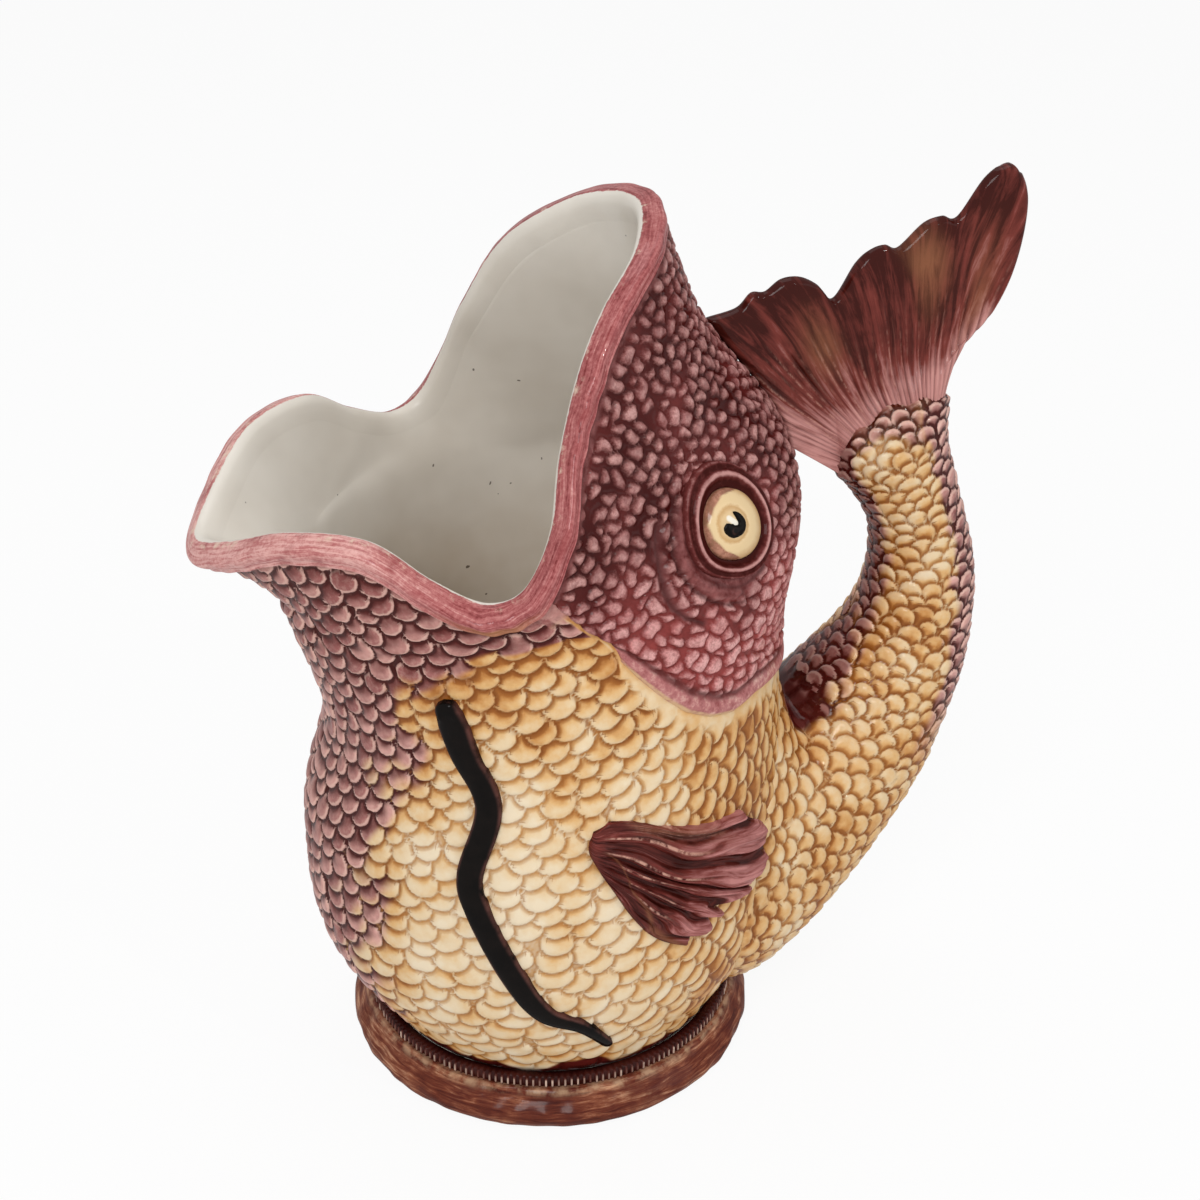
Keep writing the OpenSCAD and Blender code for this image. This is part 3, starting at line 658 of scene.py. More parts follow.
def head_glaze(name):
    """Pink-mauve bumps brushed over dark maroon, with a smooth pink margin along the gill."""
    g = Glaze(name, 0.22, 0.04)
    sd, calm, tone, pink, dark, margin, edge = g.values("sd calm tone pink dark margin edge")
    fine, mid = g.noise(0.8, 5, 0.7), g.noise(3.4, 5, 0.65)
    outside = g.plus(sd, g.sway(fine, 0.22))
    bump = g.mix(pink, g.mix(tone, rgb(136, 82, 79), rgb(178, 126, 120)),
                 g.mix(tone, rgb(212, 136, 134), rgb(236, 176, 173)))
    # painted highlight: each bump is paler towards its crest
    bump = g.mix(g.spread(outside, -1.5, -0.5, 0.4, 0.0), bump, rgb(232, 186, 180))
    bump = g.mix(g.spread(fine, 0.42, 0.66, 0.0, 0.5), bump, rgb(120, 60, 58))
    worn = g.mix(pink, rgb(96, 42, 41), rgb(150, 76, 74))
    bump = g.mix(g.spread(mid, 0.48, 0.70, 0.0, 0.7), bump, worn)
    gaps = g.mix(g.times(pink, g.spread(mid, 0.3, 0.6, 0.5, 1.0)), rgb(66, 16, 14), rgb(150, 66, 63))
    face = g.times(g.spread(outside, -0.75, 0.05, 1.0, 0.0), calm)
    bare = g.mix(g.spread(mid, 0.35, 0.65), rgb(98, 42, 41), rgb(158, 98, 96))
    colour = g.mix(g.times(g.math("SUBTRACT", 1.0, calm), 0.9), g.mix(face, gaps, bump), bare)
    band = g.ramp(g.noise(2.6, 5, 0.7), (0.3, rgb(150, 80, 80)), (0.52, rgb(190, 124, 122)),
                  (0.68, rgb(224, 178, 166)))
    colour = g.mix(margin, colour, band)
    # painted shade in the creases, round the orbit and under the lip
    colour = g.mix(g.times(dark, g.spread(mid, 0.25, 0.6, 0.6, 1.0)), colour, rgb(58, 19, 18))
    colour = g.mix(g.times(edge, g.spread(mid, 0.35, 0.55, 0.25, 0.95)), colour, rgb(226, 192, 150))
    height = g.plus(g.times(face, 0.7), g.sway(fine, 0.2))
    return g.finish(colour, height, 0.5, 0.4, g.over(g.noise(3, 3), 0.14, 0.28))


def white_glaze(g):
    """Off-white that the lip and the lining share, so that they run into each other."""
    return g.mix(g.over(g.noise(38, 3), 0, 1), rgb(234, 228, 218), rgb(216, 208, 196))


def lip_glaze(name):
    """Brushed pink that ends in a ragged line against the white inside."""
    g = Glaze(name, 0.28)
    inner, crest, amber, pale = g.values("inner crest amber pale")
    streak, dabs = g.streaks(5, 0.7, 0.4), g.noise(4.5, 5, 0.7)
    level = g.plus(g.spread(streak, 0.1, 0.9), g.spread(pale, 0, 1, -0.08, 0.20))
    level = g.plus(level, g.sway(g.noise(1.1, 5, 0.7), 0.14), True)
    pink = g.ramp(level, (0.18, rgb(122, 50, 51)), (0.40, rgb(166, 90, 90)), (0.58, rgb(190, 120, 117)),
                  (0.82, rgb(226, 174, 167)))
    pink = g.mix(g.spread(g.noise(7, 5, 0.6), 0.54, 0.72, 0, 0.6), pink, rgb(140, 60, 61))
    pink = g.mix(g.times(amber, g.spread(streak, 0.3, 0.6, 0.3, 0.9)), pink, rgb(176, 128, 82))
    pink = g.mix(g.times(crest, g.spread(dabs, 0.42, 0.30, 0, 0.85)), pink, rgb(112, 44, 46))
    pink = g.mix(g.times(crest, g.spread(dabs, 0.55, 0.66, 0, 0.8)), pink, rgb(226, 204, 182))
    ragged = g.spread(g.plus(inner, g.sway(g.noise(3, 5, 0.7), 0.16)), 0.42, 0.58)
    return g.finish(g.mix(ragged, pink, white_glaze(g)), streak, 0.10, 0.2, g.over(streak, 0.16, 0.30))


def lining_glaze(name):
    """Off-white that darkens and warms towards the bottom as painted shade, with a few kiln specks."""
    g = Glaze(name)
    # painted shade: darker and warmer towards the bottom
    pool = g.times(g.value("pool"), g.over(g.noise(26, 3), 0.5, 1.0))
    speck = g.times(g.spread(g.noise(2.2, 0), 0.865, 0.88), 0.8)
    colour = g.mix(speck, g.mix(pool, white_glaze(g), rgb(196, 180, 160)), rgb(66, 50, 40))
    return g.finish(colour, g.noise(9, 2), 0.05, 0.4, g.over(g.noise(6, 3), 0.14, 0.24))


def foot_glaze(name):
    """Brown brushed round the foot, paler on its edges."""
    g = Glaze(name, coat_rough=0.14)
    streak = g.streaks(6, 0.72, 0.5)
    level = g.plus(streak, g.spread(g.noise(24, 3), 0.35, 0.65, -0.08, 0.12))
    colour = g.ramp(level, (0.32, rgb(66, 24, 18)), (0.49, rgb(106, 50, 35)), (0.60, rgb(144, 86, 62)),
                    (0.71, rgb(200, 150, 118)))
    colour = g.mix(g.spread(g.noise(10, 4), 0.47, 0.70, 0, 0.75), colour, rgb(84, 34, 28))
    pale_edge = g.times(g.value("edge"), g.spread(g.noise(4, 5), 0.42, 0.62))
    return g.finish(g.mix(pale_edge, colour, rgb(206, 172, 138)), streak, 0.22, 0.3, g.over(streak, 0.16, 0.32))


def rib_glaze(name):
    """Dark brown with the ribs rubbed pale."""
    g = Glaze(name)
    fine = g.noise(1.2, 4)
    colour = g.ramp(g.value("rib"), (0.25, rgb(50, 17, 14)), (0.7, rgb(96, 50, 42)),
                    (0.95, rgb(214, 186, 168)))
    colour = g.mix(g.spread(g.noise(9, 3), 0.42, 0.62, 0, 0.6), colour, rgb(78, 34, 28))
    return g.finish(colour, fine, 0.15, 0.2, g.over(fine, 0.25, 0.42))


def fin_glaze(name, deep, mid, pale, brown):
    """Maroon that thins to pink where tint is high, with dark grooves, amber patches and pale hair lines; on
    the side fins the grooves also carry a painted shadow.
    """
    g = Glaze(name, 0.22)
    tint, groove, warm, hair = g.values("tint groove warm hair")
    streak = g.streaks(5, 0.62, 0.6)
    level = g.plus(tint, g.spread(streak, 0.28, 0.72, -0.30, 0.34))
    level = g.plus(level, g.sway(g.noise(8, 4, 0.55), 0.10), True)
    colour = g.ramp(level, (0.05, deep), (0.40, mid), (0.85, pale))
    colour = g.mix(g.times(warm, g.spread(streak, 0.35, 0.58, 0.35, 0.95)), colour, brown)
    colour = g.mix(g.times(groove, g.spread(streak, 0.3, 0.6, 0.9, 0.5)), colour, deep)
    colour = g.mix(g.times(hair, g.spread(g.noise(2.2, 4), 0.40, 0.58)), colour, rgb(206, 156, 138))
    return g.finish(colour, streak, 0.12, 0.2, g.over(streak, 0.12, 0.24))


def black_glaze(name):
    """Black, thin and brownish where edge is high."""
    g = Glaze(name, 0.14)
    haze = g.noise(6, 4)
    colour = g.mix(g.spread(haze, 0.35, 0.7), rgb(13, 10, 9), rgb(22, 17, 15))
    colour = g.mix(g.times(g.value("edge"), g.spread(haze, 0.35, 0.6)), colour, rgb(92, 58, 52))
    return g.finish(colour, g.noise(2.5, 3), 0.10, 0.2, g.over(haze, 0.08, 0.18))


def eye_glaze(name):
    """Cream with a darker ring, brown lids and a white spot."""
    g = Glaze(name, 0.40)
    ring, lid, glint = g.values("ring lid glint")
    fine = g.noise(2.4, 5, 0.7)
    colour = g.ramp(g.plus(ring, g.sway(fine, 0.04)), (0.0, rgb(230, 204, 160)), (0.36, rgb(222, 190, 142)),
                    (0.47, rgb(204, 164, 112)), (0.55, rgb(230, 202, 156)), (0.80, rgb(228, 200, 154)),
                    (1.0, rgb(206, 170, 122)))
    brown = g.mix(g.spread(fine, 0.4, 0.6), rgb(128, 76, 58), rgb(186, 132, 108))
    colour = g.mix(g.times(lid, g.spread(fine, 0.25, 0.5, 0.7, 1.0)), colour, brown)
    return g.finish(g.mix(glint, colour, rgb(246, 238, 222)), fine, 0.08, 0.2, g.over(fine, 0.15, 0.28))


def orbit_glaze(name):
    """Dark maroon, pink along the ridges."""
    g = Glaze(name, 0.08)
    fine = g.noise(2.2, 5, 0.7)
    level = g.plus(g.value("ridge"), g.sway(fine, 0.18), True)
    colour = g.ramp(level, (0.1, rgb(64, 21, 18)), (0.45, rgb(106, 50, 48)), (0.9, rgb(196, 144, 139)))
    return g.finish(colour, fine, 0.15, 0.2, g.over(fine, 0.2, 0.36))


SCALED, LINING, BLACK = scaled_glaze("scaled_glaze"), lining_glaze("lining_glaze"), black_glaze("black_glaze")
TAIL_FIN = fin_glaze("tail_fin_glaze", deep=rgb(62, 20, 15), mid=rgb(120, 54, 47), pale=rgb(200, 142, 136),
                     brown=rgb(140, 90, 62))
SIDE_FIN = fin_glaze("side_fin_glaze", deep=rgb(56, 16, 11), mid=rgb(120, 54, 48), pale=rgb(194, 130, 126),
                     brown=rgb(132, 82, 58))

# Body: belly, throat and lower jaw
BACK = 3.4  # how deep the hidden back of a skin lies
BODY_COLS, BODY_ROWS, BODY_BACK_ROWS, BODY_SPLIT = 330, 276, 14, 0.935
BELLY_DEGREE_MM = 1.14  # mm round the belly to one degree
BODY_LAP, LIP_LAP = 2.2, 1.0  # how far skins run up under the head and under the lip
# Spacing of the scales across and along: high on the front, low on the belly and on the rear flank
BODY_WIDE, BODY_LONG = (6.9, 8.8, 7.2), (4.7, 5.7, 4.8)
BODY_RELIEF, GILL_AMBER = (0.10, 0.85, 1.1), 0.34  # relief where calm, on cream and on mauve scales
FLOOR_INSET = np.array([0.93, 0.93, 1])
# Angle at which the purple front gives way to cream, for each height t
PURPLE_T = [0.0, 0.113, 0.215, 0.301, 0.385, 0.46, 0.535, 0.585, 0.641, 0.677, 0.731, 0.771, 0.792,
            0.834, 0.859, 0.885]
PURPLE_S = [25, 27, 30, 31.5, 33.5, 35, 37, 37, 41, 46.5, 50.5, 56, 63, 75, 88, 120]
# The free edges point down at the front, lean back along the belly and point to the tail on the rear flank
LEAN_S = [0, 12, 30, 55, 75, 95, 112, 125, 180]
LEAN_ANGLE = [0, 26, 24, 14, 20, 38, 62, 78, 80]
STREAM_S = np.linspace(0, 180, 721)
STREAM = np.tan(np.radians(np.interp(STREAM_S, LEAN_S, LEAN_ANGLE)))
STREAM = np.append(0, np.cumsum((STREAM[1:] + STREAM[:-1]) / 2 * BELLY_DEGREE_MM * STREAM_S[1]))
SCALE_MIDDLE = 0.6  # height of a scale that lies level with the surface
SCALE_VALUES = ("sd", "near", "cov", "tone", "corner", "deep")
BARE_CLAY = dict(zone=0.0, tone=0.5, plain=1.0)


def belly_flow(s, t, out):
    """Which way the free edges point at (s, t), the way across, and how far downstream the place is."""
    way = unit(round_way(s, t))
    cos, sin = (a[:, None] for a in turned(np.interp(s, LEAN_S, LEAN_ANGLE)))
    ahead = sin * way - cos * np.cross(way, out)
    return ahead, np.cross(out, ahead), np.interp(s, STREAM_S, STREAM) - up_mm(s, t)


def body_half():
    s1 = np.linspace(0, 180, BODY_COLS + 1)
    slope = 1 / np.maximum(np.gradient(TABLE_UP, TABLE_T, axis=1), 1)
    under_head = gill_t(s1) + BODY_LAP * table(slope, s1, gill_t(s1))
    top = mix(lip_t(s1) + LIP_LAP * t_per_mm(s1), under_head, rise(s1, HEAD_S0, 12))

    def rows(count):
        angle, share = cells(s1, np.linspace(0, 1, count + 1))
        return angle, share + (top[:, None] - 1) * share ** 4

    grid_s, grid_t = rows(BODY_ROWS)
    s, t = grid_s.ravel(), grid_t.ravel()
    up, flat, out = up_mm(s, t), surface(s, t), normal(s, t)
    rear, low = rise(s, 100, 22), fall(t, 0.60, 0.5)
    wide, long = (mix(mix(high, belly, low), flank, rear) for high, belly, flank in (BODY_WIDE, BODY_LONG))
    scale = scales(flat, *belly_flow(s, t, out), wide, long, 11)
    gill_gap = np.where(s > HEAD_S0 - 6, (gill_t(s) - t) / np.maximum(table(slope, s, gill_t(s)), 1e-6), 99)
    lip_gap = (lip_t(s) - t) / t_per_mm(s)
    calm = rise(gill_gap, 1.5, 5) * rise(lip_gap, 0.2, 2.5) * rise(up, 1.0, 3)
    noise = blotch(flat)
    edge = np.interp(t, PURPLE_T, PURPLE_S)
    zone = smooth(((edge - s) + 3.0 * noise + (scale["tone"] - 0.5) * 11 + scale["along"] * 5) / 8 + 0.5)
    zone = zone * np.maximum(rise(gill_gap, 0.5, 5), fall(lip_gap, 9, 4))
    painted = fall(up, 4.2 + 1.8 * noise, 1.4)  # a maroon line where the belly meets the foot
    zone = np.maximum(zone, painted)
    scale["tone"] = clamp(scale["tone"] + 0.12 - 0.36 * rise(t, 0.58, 0.12))  # deeper above the throat
    scale["sd"], scale["cov"] = mix(scale["sd"], 0.8, painted), scale["cov"] * (1 - painted)
    scale["deep"] = np.maximum(scale["deep"], painted)
    amber = 0.22 + 0.41 * rise(t, 0.48, 0.28) + 0.30 * rise(s, 100, 25)
    amber = amber - 0.16 * bell(s, 60, 24) * bell(t, 0.38, 0.22)
    amber = amber + 0.07 * noise + 0.22 * fall(s - edge, 26, 26)
    amber = clamp(mix(amber, GILL_AMBER, bell(gill_gap, 3.0, 3.0)))
    height = (scale["h"] - SCALE_MIDDLE) * mix(BODY_RELIEF[0], mix(*BODY_RELIEF[1:], zone), calm)
    height = height + 0.05 * ripple(flat)
    front = (flat + out * height[:, None]).reshape(grid_s.shape + (3,))
    back = skin(*rows(BODY_BACK_ROWS), -BACK)
    back[:, 0] = surface(s1, 0) * FLOOR_INSET
    return Build().shell(front, back, BODY_SPLIT, dict(BARE_CLAY, amber=0.2), zone=zone, amber=amber,
                         plain=(1 - calm) * (1 - painted), **{name: scale[name] for name in SCALE_VALUES})


body = body_half()
body.object("body_skin_far", SCALED, "scaled_cream_glaze")
body.object("body_skin_near", SCALED, "scaled_cream_glaze", ["body_shell"], mirror=True)

# Head: skull, cheeks and gill covers
HEAD_COLS, HEAD_ROWS, HEAD_BACK_ROWS, HEAD_SPLIT = 196, 236, 10, 0.935
HEAD_START, HEAD_SUNK, GILL_ROUND = HEAD_S0 + 0.6, -0.9, 2.4
BUMP_WIDE, BUMP_LONG, BUMP_MIDDLE = 4.3, 3.2, 0.45
EYE_S, EYE_T = 132.0, 0.842
CHEEK_FOLD = [(123, 0.918), (119.5, 0.910), (116, 0.893), (112.5, 0.866), (110.2, 0.832),
              (110, 0.800), (112.5, 0.772)]
# The fold beside the eye: which way it lies, and the radius of its ridge and of its crease
LID_WAY, LID_R, LID_CREASE_R = (-0.98, 0.18), 16.6, 19.2


def head_piece():
    s1 = np.linspace(HEAD_START, 180, HEAD_COLS + 1)
    low, top = gill_t(s1), lip_t(s1) + LIP_LAP * t_per_mm(s1)
    grid_s, share = cells(s1, np.linspace(0, 1, HEAD_ROWS + 1) ** 1.15)
    grid_t = low[:, None] + share * (top - low)[:, None]
    s, t = grid_s.ravel(), grid_t.ravel()
    up, flat, out = up_mm(s, t), surface(s, t), normal(s, t)
    z = flat[:, 2]
    gill = up - up_mm(s, gill_t(s))
    lip_gap = (lip_t(s) - t) / t_per_mm(s)
    from_eye = flat - surface(EYE_S, EYE_T)
    eye = np.linalg.norm(from_eye, axis=-1)
    way = unit(round_way(EYE_S, EYE_T))
    beside = from_eye @ way * LID_WAY[0] + from_eye @ np.cross(way, normal(EYE_S, EYE_T)) * LID_WAY[1]
    lid = rise(beside / np.maximum(eye, 1), 0.25, 0.45)
    down = unit(out * out[:, 2:] - np.array([0, 0, 1.0]))
    size = mix(1.0, 1.12, fall(z, 190, 40))
    bump = bumps(flat, down, np.cross(out, down), -z, BUMP_WIDE * size, BUMP_LONG * size, 21)
    fold_s, fold_t = np.array(CHEEK_FOLD).T
    fold = near_line(s, up, fold_s, up_mm(fold_s, fold_t))
    calm = rise(gill, 5.0, 3.0) * rise(lip_gap, 0.3, 2.0) * rise(eye, 14.4, 1.6)
    calm = calm * (1 - 0.8 * bell(fold, 0, 1.0)) * (1 - 0.95 * lid * bell(eye, LID_R, 1.8))
    front_edge = (s - HEAD_START) * 1.05 + 0.3
    height = HEAD_SUNK + (HEAD_PROUD - HEAD_SUNK) * rounded(np.minimum(gill, front_edge) / GILL_ROUND)
    height += 0.35 * bell(gill, 3.2, 1.6) - 0.55 * bell(gill, 6.6, 1.2)
    height += (bump["h"] - BUMP_MIDDLE) * mix(0.9, 1.2, bump["tone"]) * calm
    height += 0.4 * bell(fold, 1.9, 0.9) - 0.9 * bell(fold, 0, 0.9)
    height += lid * (0.8 * bell(eye, LID_R, 1.4) - 0.6 * bell(eye, LID_CREASE_R, 0.8))
    pink = (0.12 + 0.88 * fall(z, 184, 34) + 0.14 * blotch(flat)) * (1 - 0.4 * rise(s, 150, 25))
    # painted shade: darker in the creases of the fold and the lid, round the orbit, in the groove above the
    # gill margin and under the lip
    dark = 0.8 * bell(fold, 0, 0.7) + 0.8 * lid * bell(eye, LID_CREASE_R, 0.7) + 0.6 * bell(eye, 14.9, 0.6)
    dark += 0.65 * bell(gill, 7.0, 1.1) + 0.5 * fall(lip_gap, 1.2, 1.2)
    values = dict(calm=calm, sd=bump["sd"], tone=bump["tone"], pink=clamp(pink), dark=clamp(dark),
                  margin=fall(gill, 6.2, 1.5), edge=fall(gill, 2.0, 1.0))

    def both_sides(a, flip=1):
        return np.concatenate([a, a[-2::-1] * flip])

    pick = np.linspace(0, HEAD_ROWS, HEAD_BACK_ROWS + 1).round().astype(int)
    front = (flat + out * height[:, None]).reshape(grid_s.shape + (3,))
    back = skin(grid_s[:, pick], grid_t[:, pick], -BACK)
    return Build().shell(both_sides(front, MIRROR), both_sides(back, MIRROR), HEAD_SPLIT,
                         dict(sd=1.0, tone=0.5, pink=0.5),
                         **{name: both_sides(value.reshape(grid_s.shape)) for name, value in values.items()})


head_piece().object("head_skin", head_glaze("head_glaze"), "mauve_head_glaze", ["head_shell"])

# Rolled lip and white lining
# The lip's section, as mm out from the wall and mm up from the rim
LIP_SECTION = ([(-0.2 * WALL, -LIP_BAND), (0.55 * LIP_OUT, -LIP_BAND), (0.86 * LIP_OUT, -0.93 * LIP_BAND)]
               + [(LIP_OUT * (0.35 + 0.65 * math.cos(math.radians(a - 20))),
                   LIP_BAND * (-0.48 + 0.48 * math.sin(math.radians(a)))) for a in range(-45, 106, 30)]
               + [(-0.4 * WALL, 0.55), (-0.75 * WALL, 0.0), (-0.97 * WALL, -0.22 * LIP_BAND),
                  (-1.02 * WALL, -0.55 * LIP_BAND), (-1.01 * WALL, -0.85 * LIP_BAND),
                  (-0.94 * WALL, -1.4 * LIP_BAND), (-0.5 * WALL, -1.4 * LIP_BAND)])
LIP_COLS, LIP_POINTS, LIP_HIDDEN = 480, 44, 6  # the section's first mm lie hidden under the lip


def lip_piece():
    section, along = resample(LIP_SECTION, LIP_POINTS)
    section[1:-1] = (section[:-2] + 2 * section[1:-1] + section[2:]) / 4
    s1 = np.arange(LIP_COLS) * 360 / LIP_COLS
    s, out = cells(s1, section[:, 0])
    up, place = cells(s1, section[:, 1])[1], cells(s1, along)[1]
    up = np.where((up < 0) & (out > -0.3 * WALL), up * lip_share(s), up)
    side = folded(s)
    uneven = 0.22 * ripple(np.stack([side * 0.9, np.full(s.shape, 3.0), side * 0], -1)) * (out > -1)
    above = unit(surface(s1, 1.0) - surface(s1, 0.98))[:, None, :] * np.maximum(up, 0)[..., None]
    points = skin(s, 1 + np.minimum(up, 0) * t_per_mm(s1)[:, None], out + uneven) + above
    rim_mm = cells(lengths(surface(s1, 1.0)), along)[0]
    inner_from = mix(0.38, 0.28, rise(side, 85, 20)) * WALL
    return Build().roll(points, inner=rise(-out, inner_from, 0.5 * WALL) * (place > LIP_HIDDEN),
                        crest=bell(out, -0.40 * WALL, 1.3) * (place > LIP_HIDDEN),
                        amber=bell(side, 76, 9) * rise(place, 1, 2) * fall(place, 9, 3),
                        pale=fall(side, 75, 35), flow=np.stack([rim_mm / 14, place / 1.1, s * 0], -1))


lip_piece().object("lip_roll_skin", lip_glaze("lip_glaze"), "rose_lip_glaze", ["lip_roll"])

LINING_COLS, LINING_ROWS, LINING_THICK, LINING_SPLIT, FLOOR_TOP = 240, 90, 0.9, 0.705, 14.4


def lining_piece():
    """White glaze inside: down the wall, round the floor's corner and across the floor."""
    s1 = np.arange(LINING_COLS) * 360 / LINING_COLS
    top = 1 - 0.5 * LIP_BAND * np.interp(folded(s1), TABLE_S, t_per_mm(TABLE_S))
    rows = [skin(s1, share * top, -WALL) for share in np.linspace(1, 0.05, LINING_ROWS)]
    x, y, z = rows[-1].T
    for angle in np.linspace(10, 90, 9):
        cos, sin = turned(angle)
        shrink = 1 - 0.10 * (1 - cos)
        rows.append(np.stack([x * shrink, y * shrink, mix(z, mix(z.mean(), FLOOR_TOP, sin), sin)], -1))
    x, y, z = rows[-1].T
    for shrink in np.linspace(0.92, 0.02, 12):
        rows.append(np.stack([x * shrink, y * shrink, np.full_like(z, FLOOR_TOP)], -1))
    inner = np.stack(rows, 1)
    out = np.cross(np.roll(inner, -1, 0) - np.roll(inner, 1, 0), np.gradient(inner, axis=1))
    outer = inner + unit(out) * LINING_THICK
    floor = slice(LINING_ROWS, None)
    outer[:, floor, 2] = np.minimum(outer[:, floor, 2], inner[:, floor, 2] - 0.15)
    # painted shade: the lining darkens and warms towards the bottom
    pool = fall(inner[:, ::-1, 2], 158, 45)
    return Build().bowl(inner[:, ::-1], outer[:, ::-1], LINING_SPLIT, dict(pool=pool), pool=pool)


lining_piece().object("white_lining", LINING, "ivory_floor_glaze")

# Foot, ribbed band and floor
FOOT_R, FOOT_H, FOOT_IN = 60.0, 12.0, 50.25
FOOT_ROUND = 0.36 * FOOT_H
FOOT_SECTION = ([(FOOT_IN, 3.0), (FOOT_R - 9.2, 0.5), (FOOT_R - 8.6, 0.0), (FOOT_R - 5.2, 0.0),
                 (FOOT_R - 4.4, 0.25)]
                + [(FOOT_R - FOOT_ROUND + FOOT_ROUND * math.cos(math.radians(a)),
                    FOOT_ROUND * (1 + math.sin(math.radians(a)))) for a in range(-50, 41, 10)]
                + [(FOOT_R - 2.3, 8.6), (FOOT_R - 3.6, 10.2), (FOOT_R - 4.4, 11.3), (FOOT_R - 5.0, 11.9),
                   (FOOT_R - 5.8, FOOT_H), (FOOT_IN, FOOT_H), (FOOT_IN, 8.0)])
FOOT_COLS, FOOT_POINTS = 360, 60


def foot_piece():
    section, along = resample(FOOT_SECTION, FOOT_POINTS)
    angle, radius = cells(full_turn(FOOT_COLS), section[:, 0])
    z, place = np.broadcast_to(section[:, 1], angle.shape), np.broadcast_to(along, angle.shape)
    uneven = 0.16 * ripple(lathe(angle, 40, z)) * rise(radius, 52, 4) * smooth(z / 2)
    uneven = uneven - 0.25 * bell(z, 9.3, 0.5) * rise(radius, 55, 2)
    radius = np.minimum(radius + uneven, FOOT_R + 0.3)
    edge = bell(z, 11.4, 0.9) * (radius > 53) * 0.6 + bell(z, 1.0, 0.8) * (radius > 55) * 0.5
    return Build().roll(lathe(angle, radius, z), edge=edge, flow=lathe(angle, 4.2, place / 1.3))


foot_piece().object("foot_ring_skin", foot_glaze("foot_glaze"), "brown_foot_glaze", ["foot_ring"])

RIBS, RIB_COLS, RIB_DEPTH, RIB_OUT, RIB_IN, RIB_SPLIT = 188, 8, 1.0, 54.73, 51.2, 0.9
RIB_Z = np.array([0, 0.25, 0.8, 1.4, 2.0, 2.6, 3.0, 3.2])


def rib_piece():
    angle, z = cells(full_turn(RIBS * RIB_COLS), RIB_Z)
    own = np.repeat(np.random.default_rng(31).random(RIBS), RIB_COLS)[:, None]
    wave = 0.5 + 0.5 * np.cos(angle * RIBS - np.pi)
    ends = np.minimum(z / 0.7, (RIB_Z[-1] - z) / 0.9)
    rib = rise(wave, 0.45, 0.40) * rounded(ends) * mix(0.72, 1.0, own)
    front = lathe(angle, RIB_OUT - RIB_DEPTH * (1 - rib), FOOT_H + z)
    back = lathe(angle, RIB_IN, FOOT_H + z)[:, [0, -1]]
    return Build().shell(front, back, RIB_SPLIT, dict(rib=0.0), True, rib=rib)


rib_piece().object("notch_ring_skin", rib_glaze("rib_glaze"), "dark_rib_glaze", ["notch_ring"])

# Radius and height round the floor plate, from the middle of its underside to the middle of its top
BASE_SECTION = [(0.4, 9.2), (20, 9.1), (40, 8.6), (47, 8.1), (48.8, 8.0), (49.7, 8.4), (49.95, 9.4),
                (49.95, 12.6), (49.7, 13.5), (48.8, 13.9), (40, 13.95), (20, 13.95), (0.4, 13.95)]
BASE_COLS, BASE_POINTS = 180, 70


def base_piece():
    section, _ = resample(BASE_SECTION, BASE_POINTS)
    angle, radius = cells(full_turn(BASE_COLS), section[:, 0])
    z = np.broadcast_to(section[:, 1], angle.shape)
    z = z + 0.15 * ripple(lathe(angle, radius, 0 * radius)) * (z < 9.3) * fall(radius, 46, 8)
    build = Build()
    numbers = build.grid(lathe(angle, radius, z), wrap=True)
    build.polygon(numbers[:, 0])
    build.polygon(numbers[:, -1])
    return build


base_piece().object("floor_plate", LINING, "ivory_floor_glaze", ["base_plate"])

# Hollow tail that makes the handle
# x, z, radius in the plane of the bend and half width of the rings along it
TAIL = [(97.0, 90.0, 25.0, 26.0), (109.16, 111.489, 19.8, 20.0), (113.0, 133.5, 16.0, 16.0),
        (109.125, 154.943, 13.8, 13.8), (100.5, 174.5, 16.5, 13.8)]
TAIL_COLS, ROOT_ROWS, TUBE_ROWS, CAP_ROWS, BORE_ROWS = 280, 132, 142, 40, 16
TAIL_SPLIT, TAIL_BACK, ROOT_SUNK = 0.955, 3.5, -0.9
ROOT_T, ROOT_HALF_T, ROOT_HALF_S = 0.262, 0.256, 50  # the oval on the body where the tail begins
# Where the mauve bands along the inside and the outside of the tail begin, as the cosine round the tail
TAIL_UP = [-0.6, 0, 0.25, 0.5, 0.75, 1]
INNER_BAND, OUTER_BAND = [0.74, 0.84, 0.93, 0.91, 0.83, 0.72], [0.6, 0.5, 0.32, 0.2, 0.3, 0.42]
SADDLE_UP, SADDLE_HALF = [-0.6, 0, 0.12, 0.3], [17, 17, 12, 4]
# How far the scales run up the fin, for the cosine round the tail
REACH_COS = [-1, -0.95, -0.72, -0.44, -0.1, 0.26, 0.57, 0.83, 1]
REACH_MM = [4, 10.4, 19.4, 23.5, 22, 20, 17.2, 12.8, 9]
REACH_BLUR = 12
# Spacing of the scales across and along: at the root, on the tube and near the fin
TAIL_WIDE, TAIL_LONG = (6.2, 5.5, 4.3), (5.0, 3.7, 3.1)


def tail_dir(i):
    before, after = TAIL[max(i - 1, 0)], TAIL[min(i + 1, len(TAIL) - 1)]
    return unit(np.array([after[0] - before[0], after[1] - before[1]]))


def tail_ring(i, angle):
    way, (x, z, radius, half) = tail_dir(i), TAIL[i]
    cos, sin = turned(angle)
    return np.stack([x + way[1] * radius * cos, half * sin, z - way[0] * radius * cos], -1)


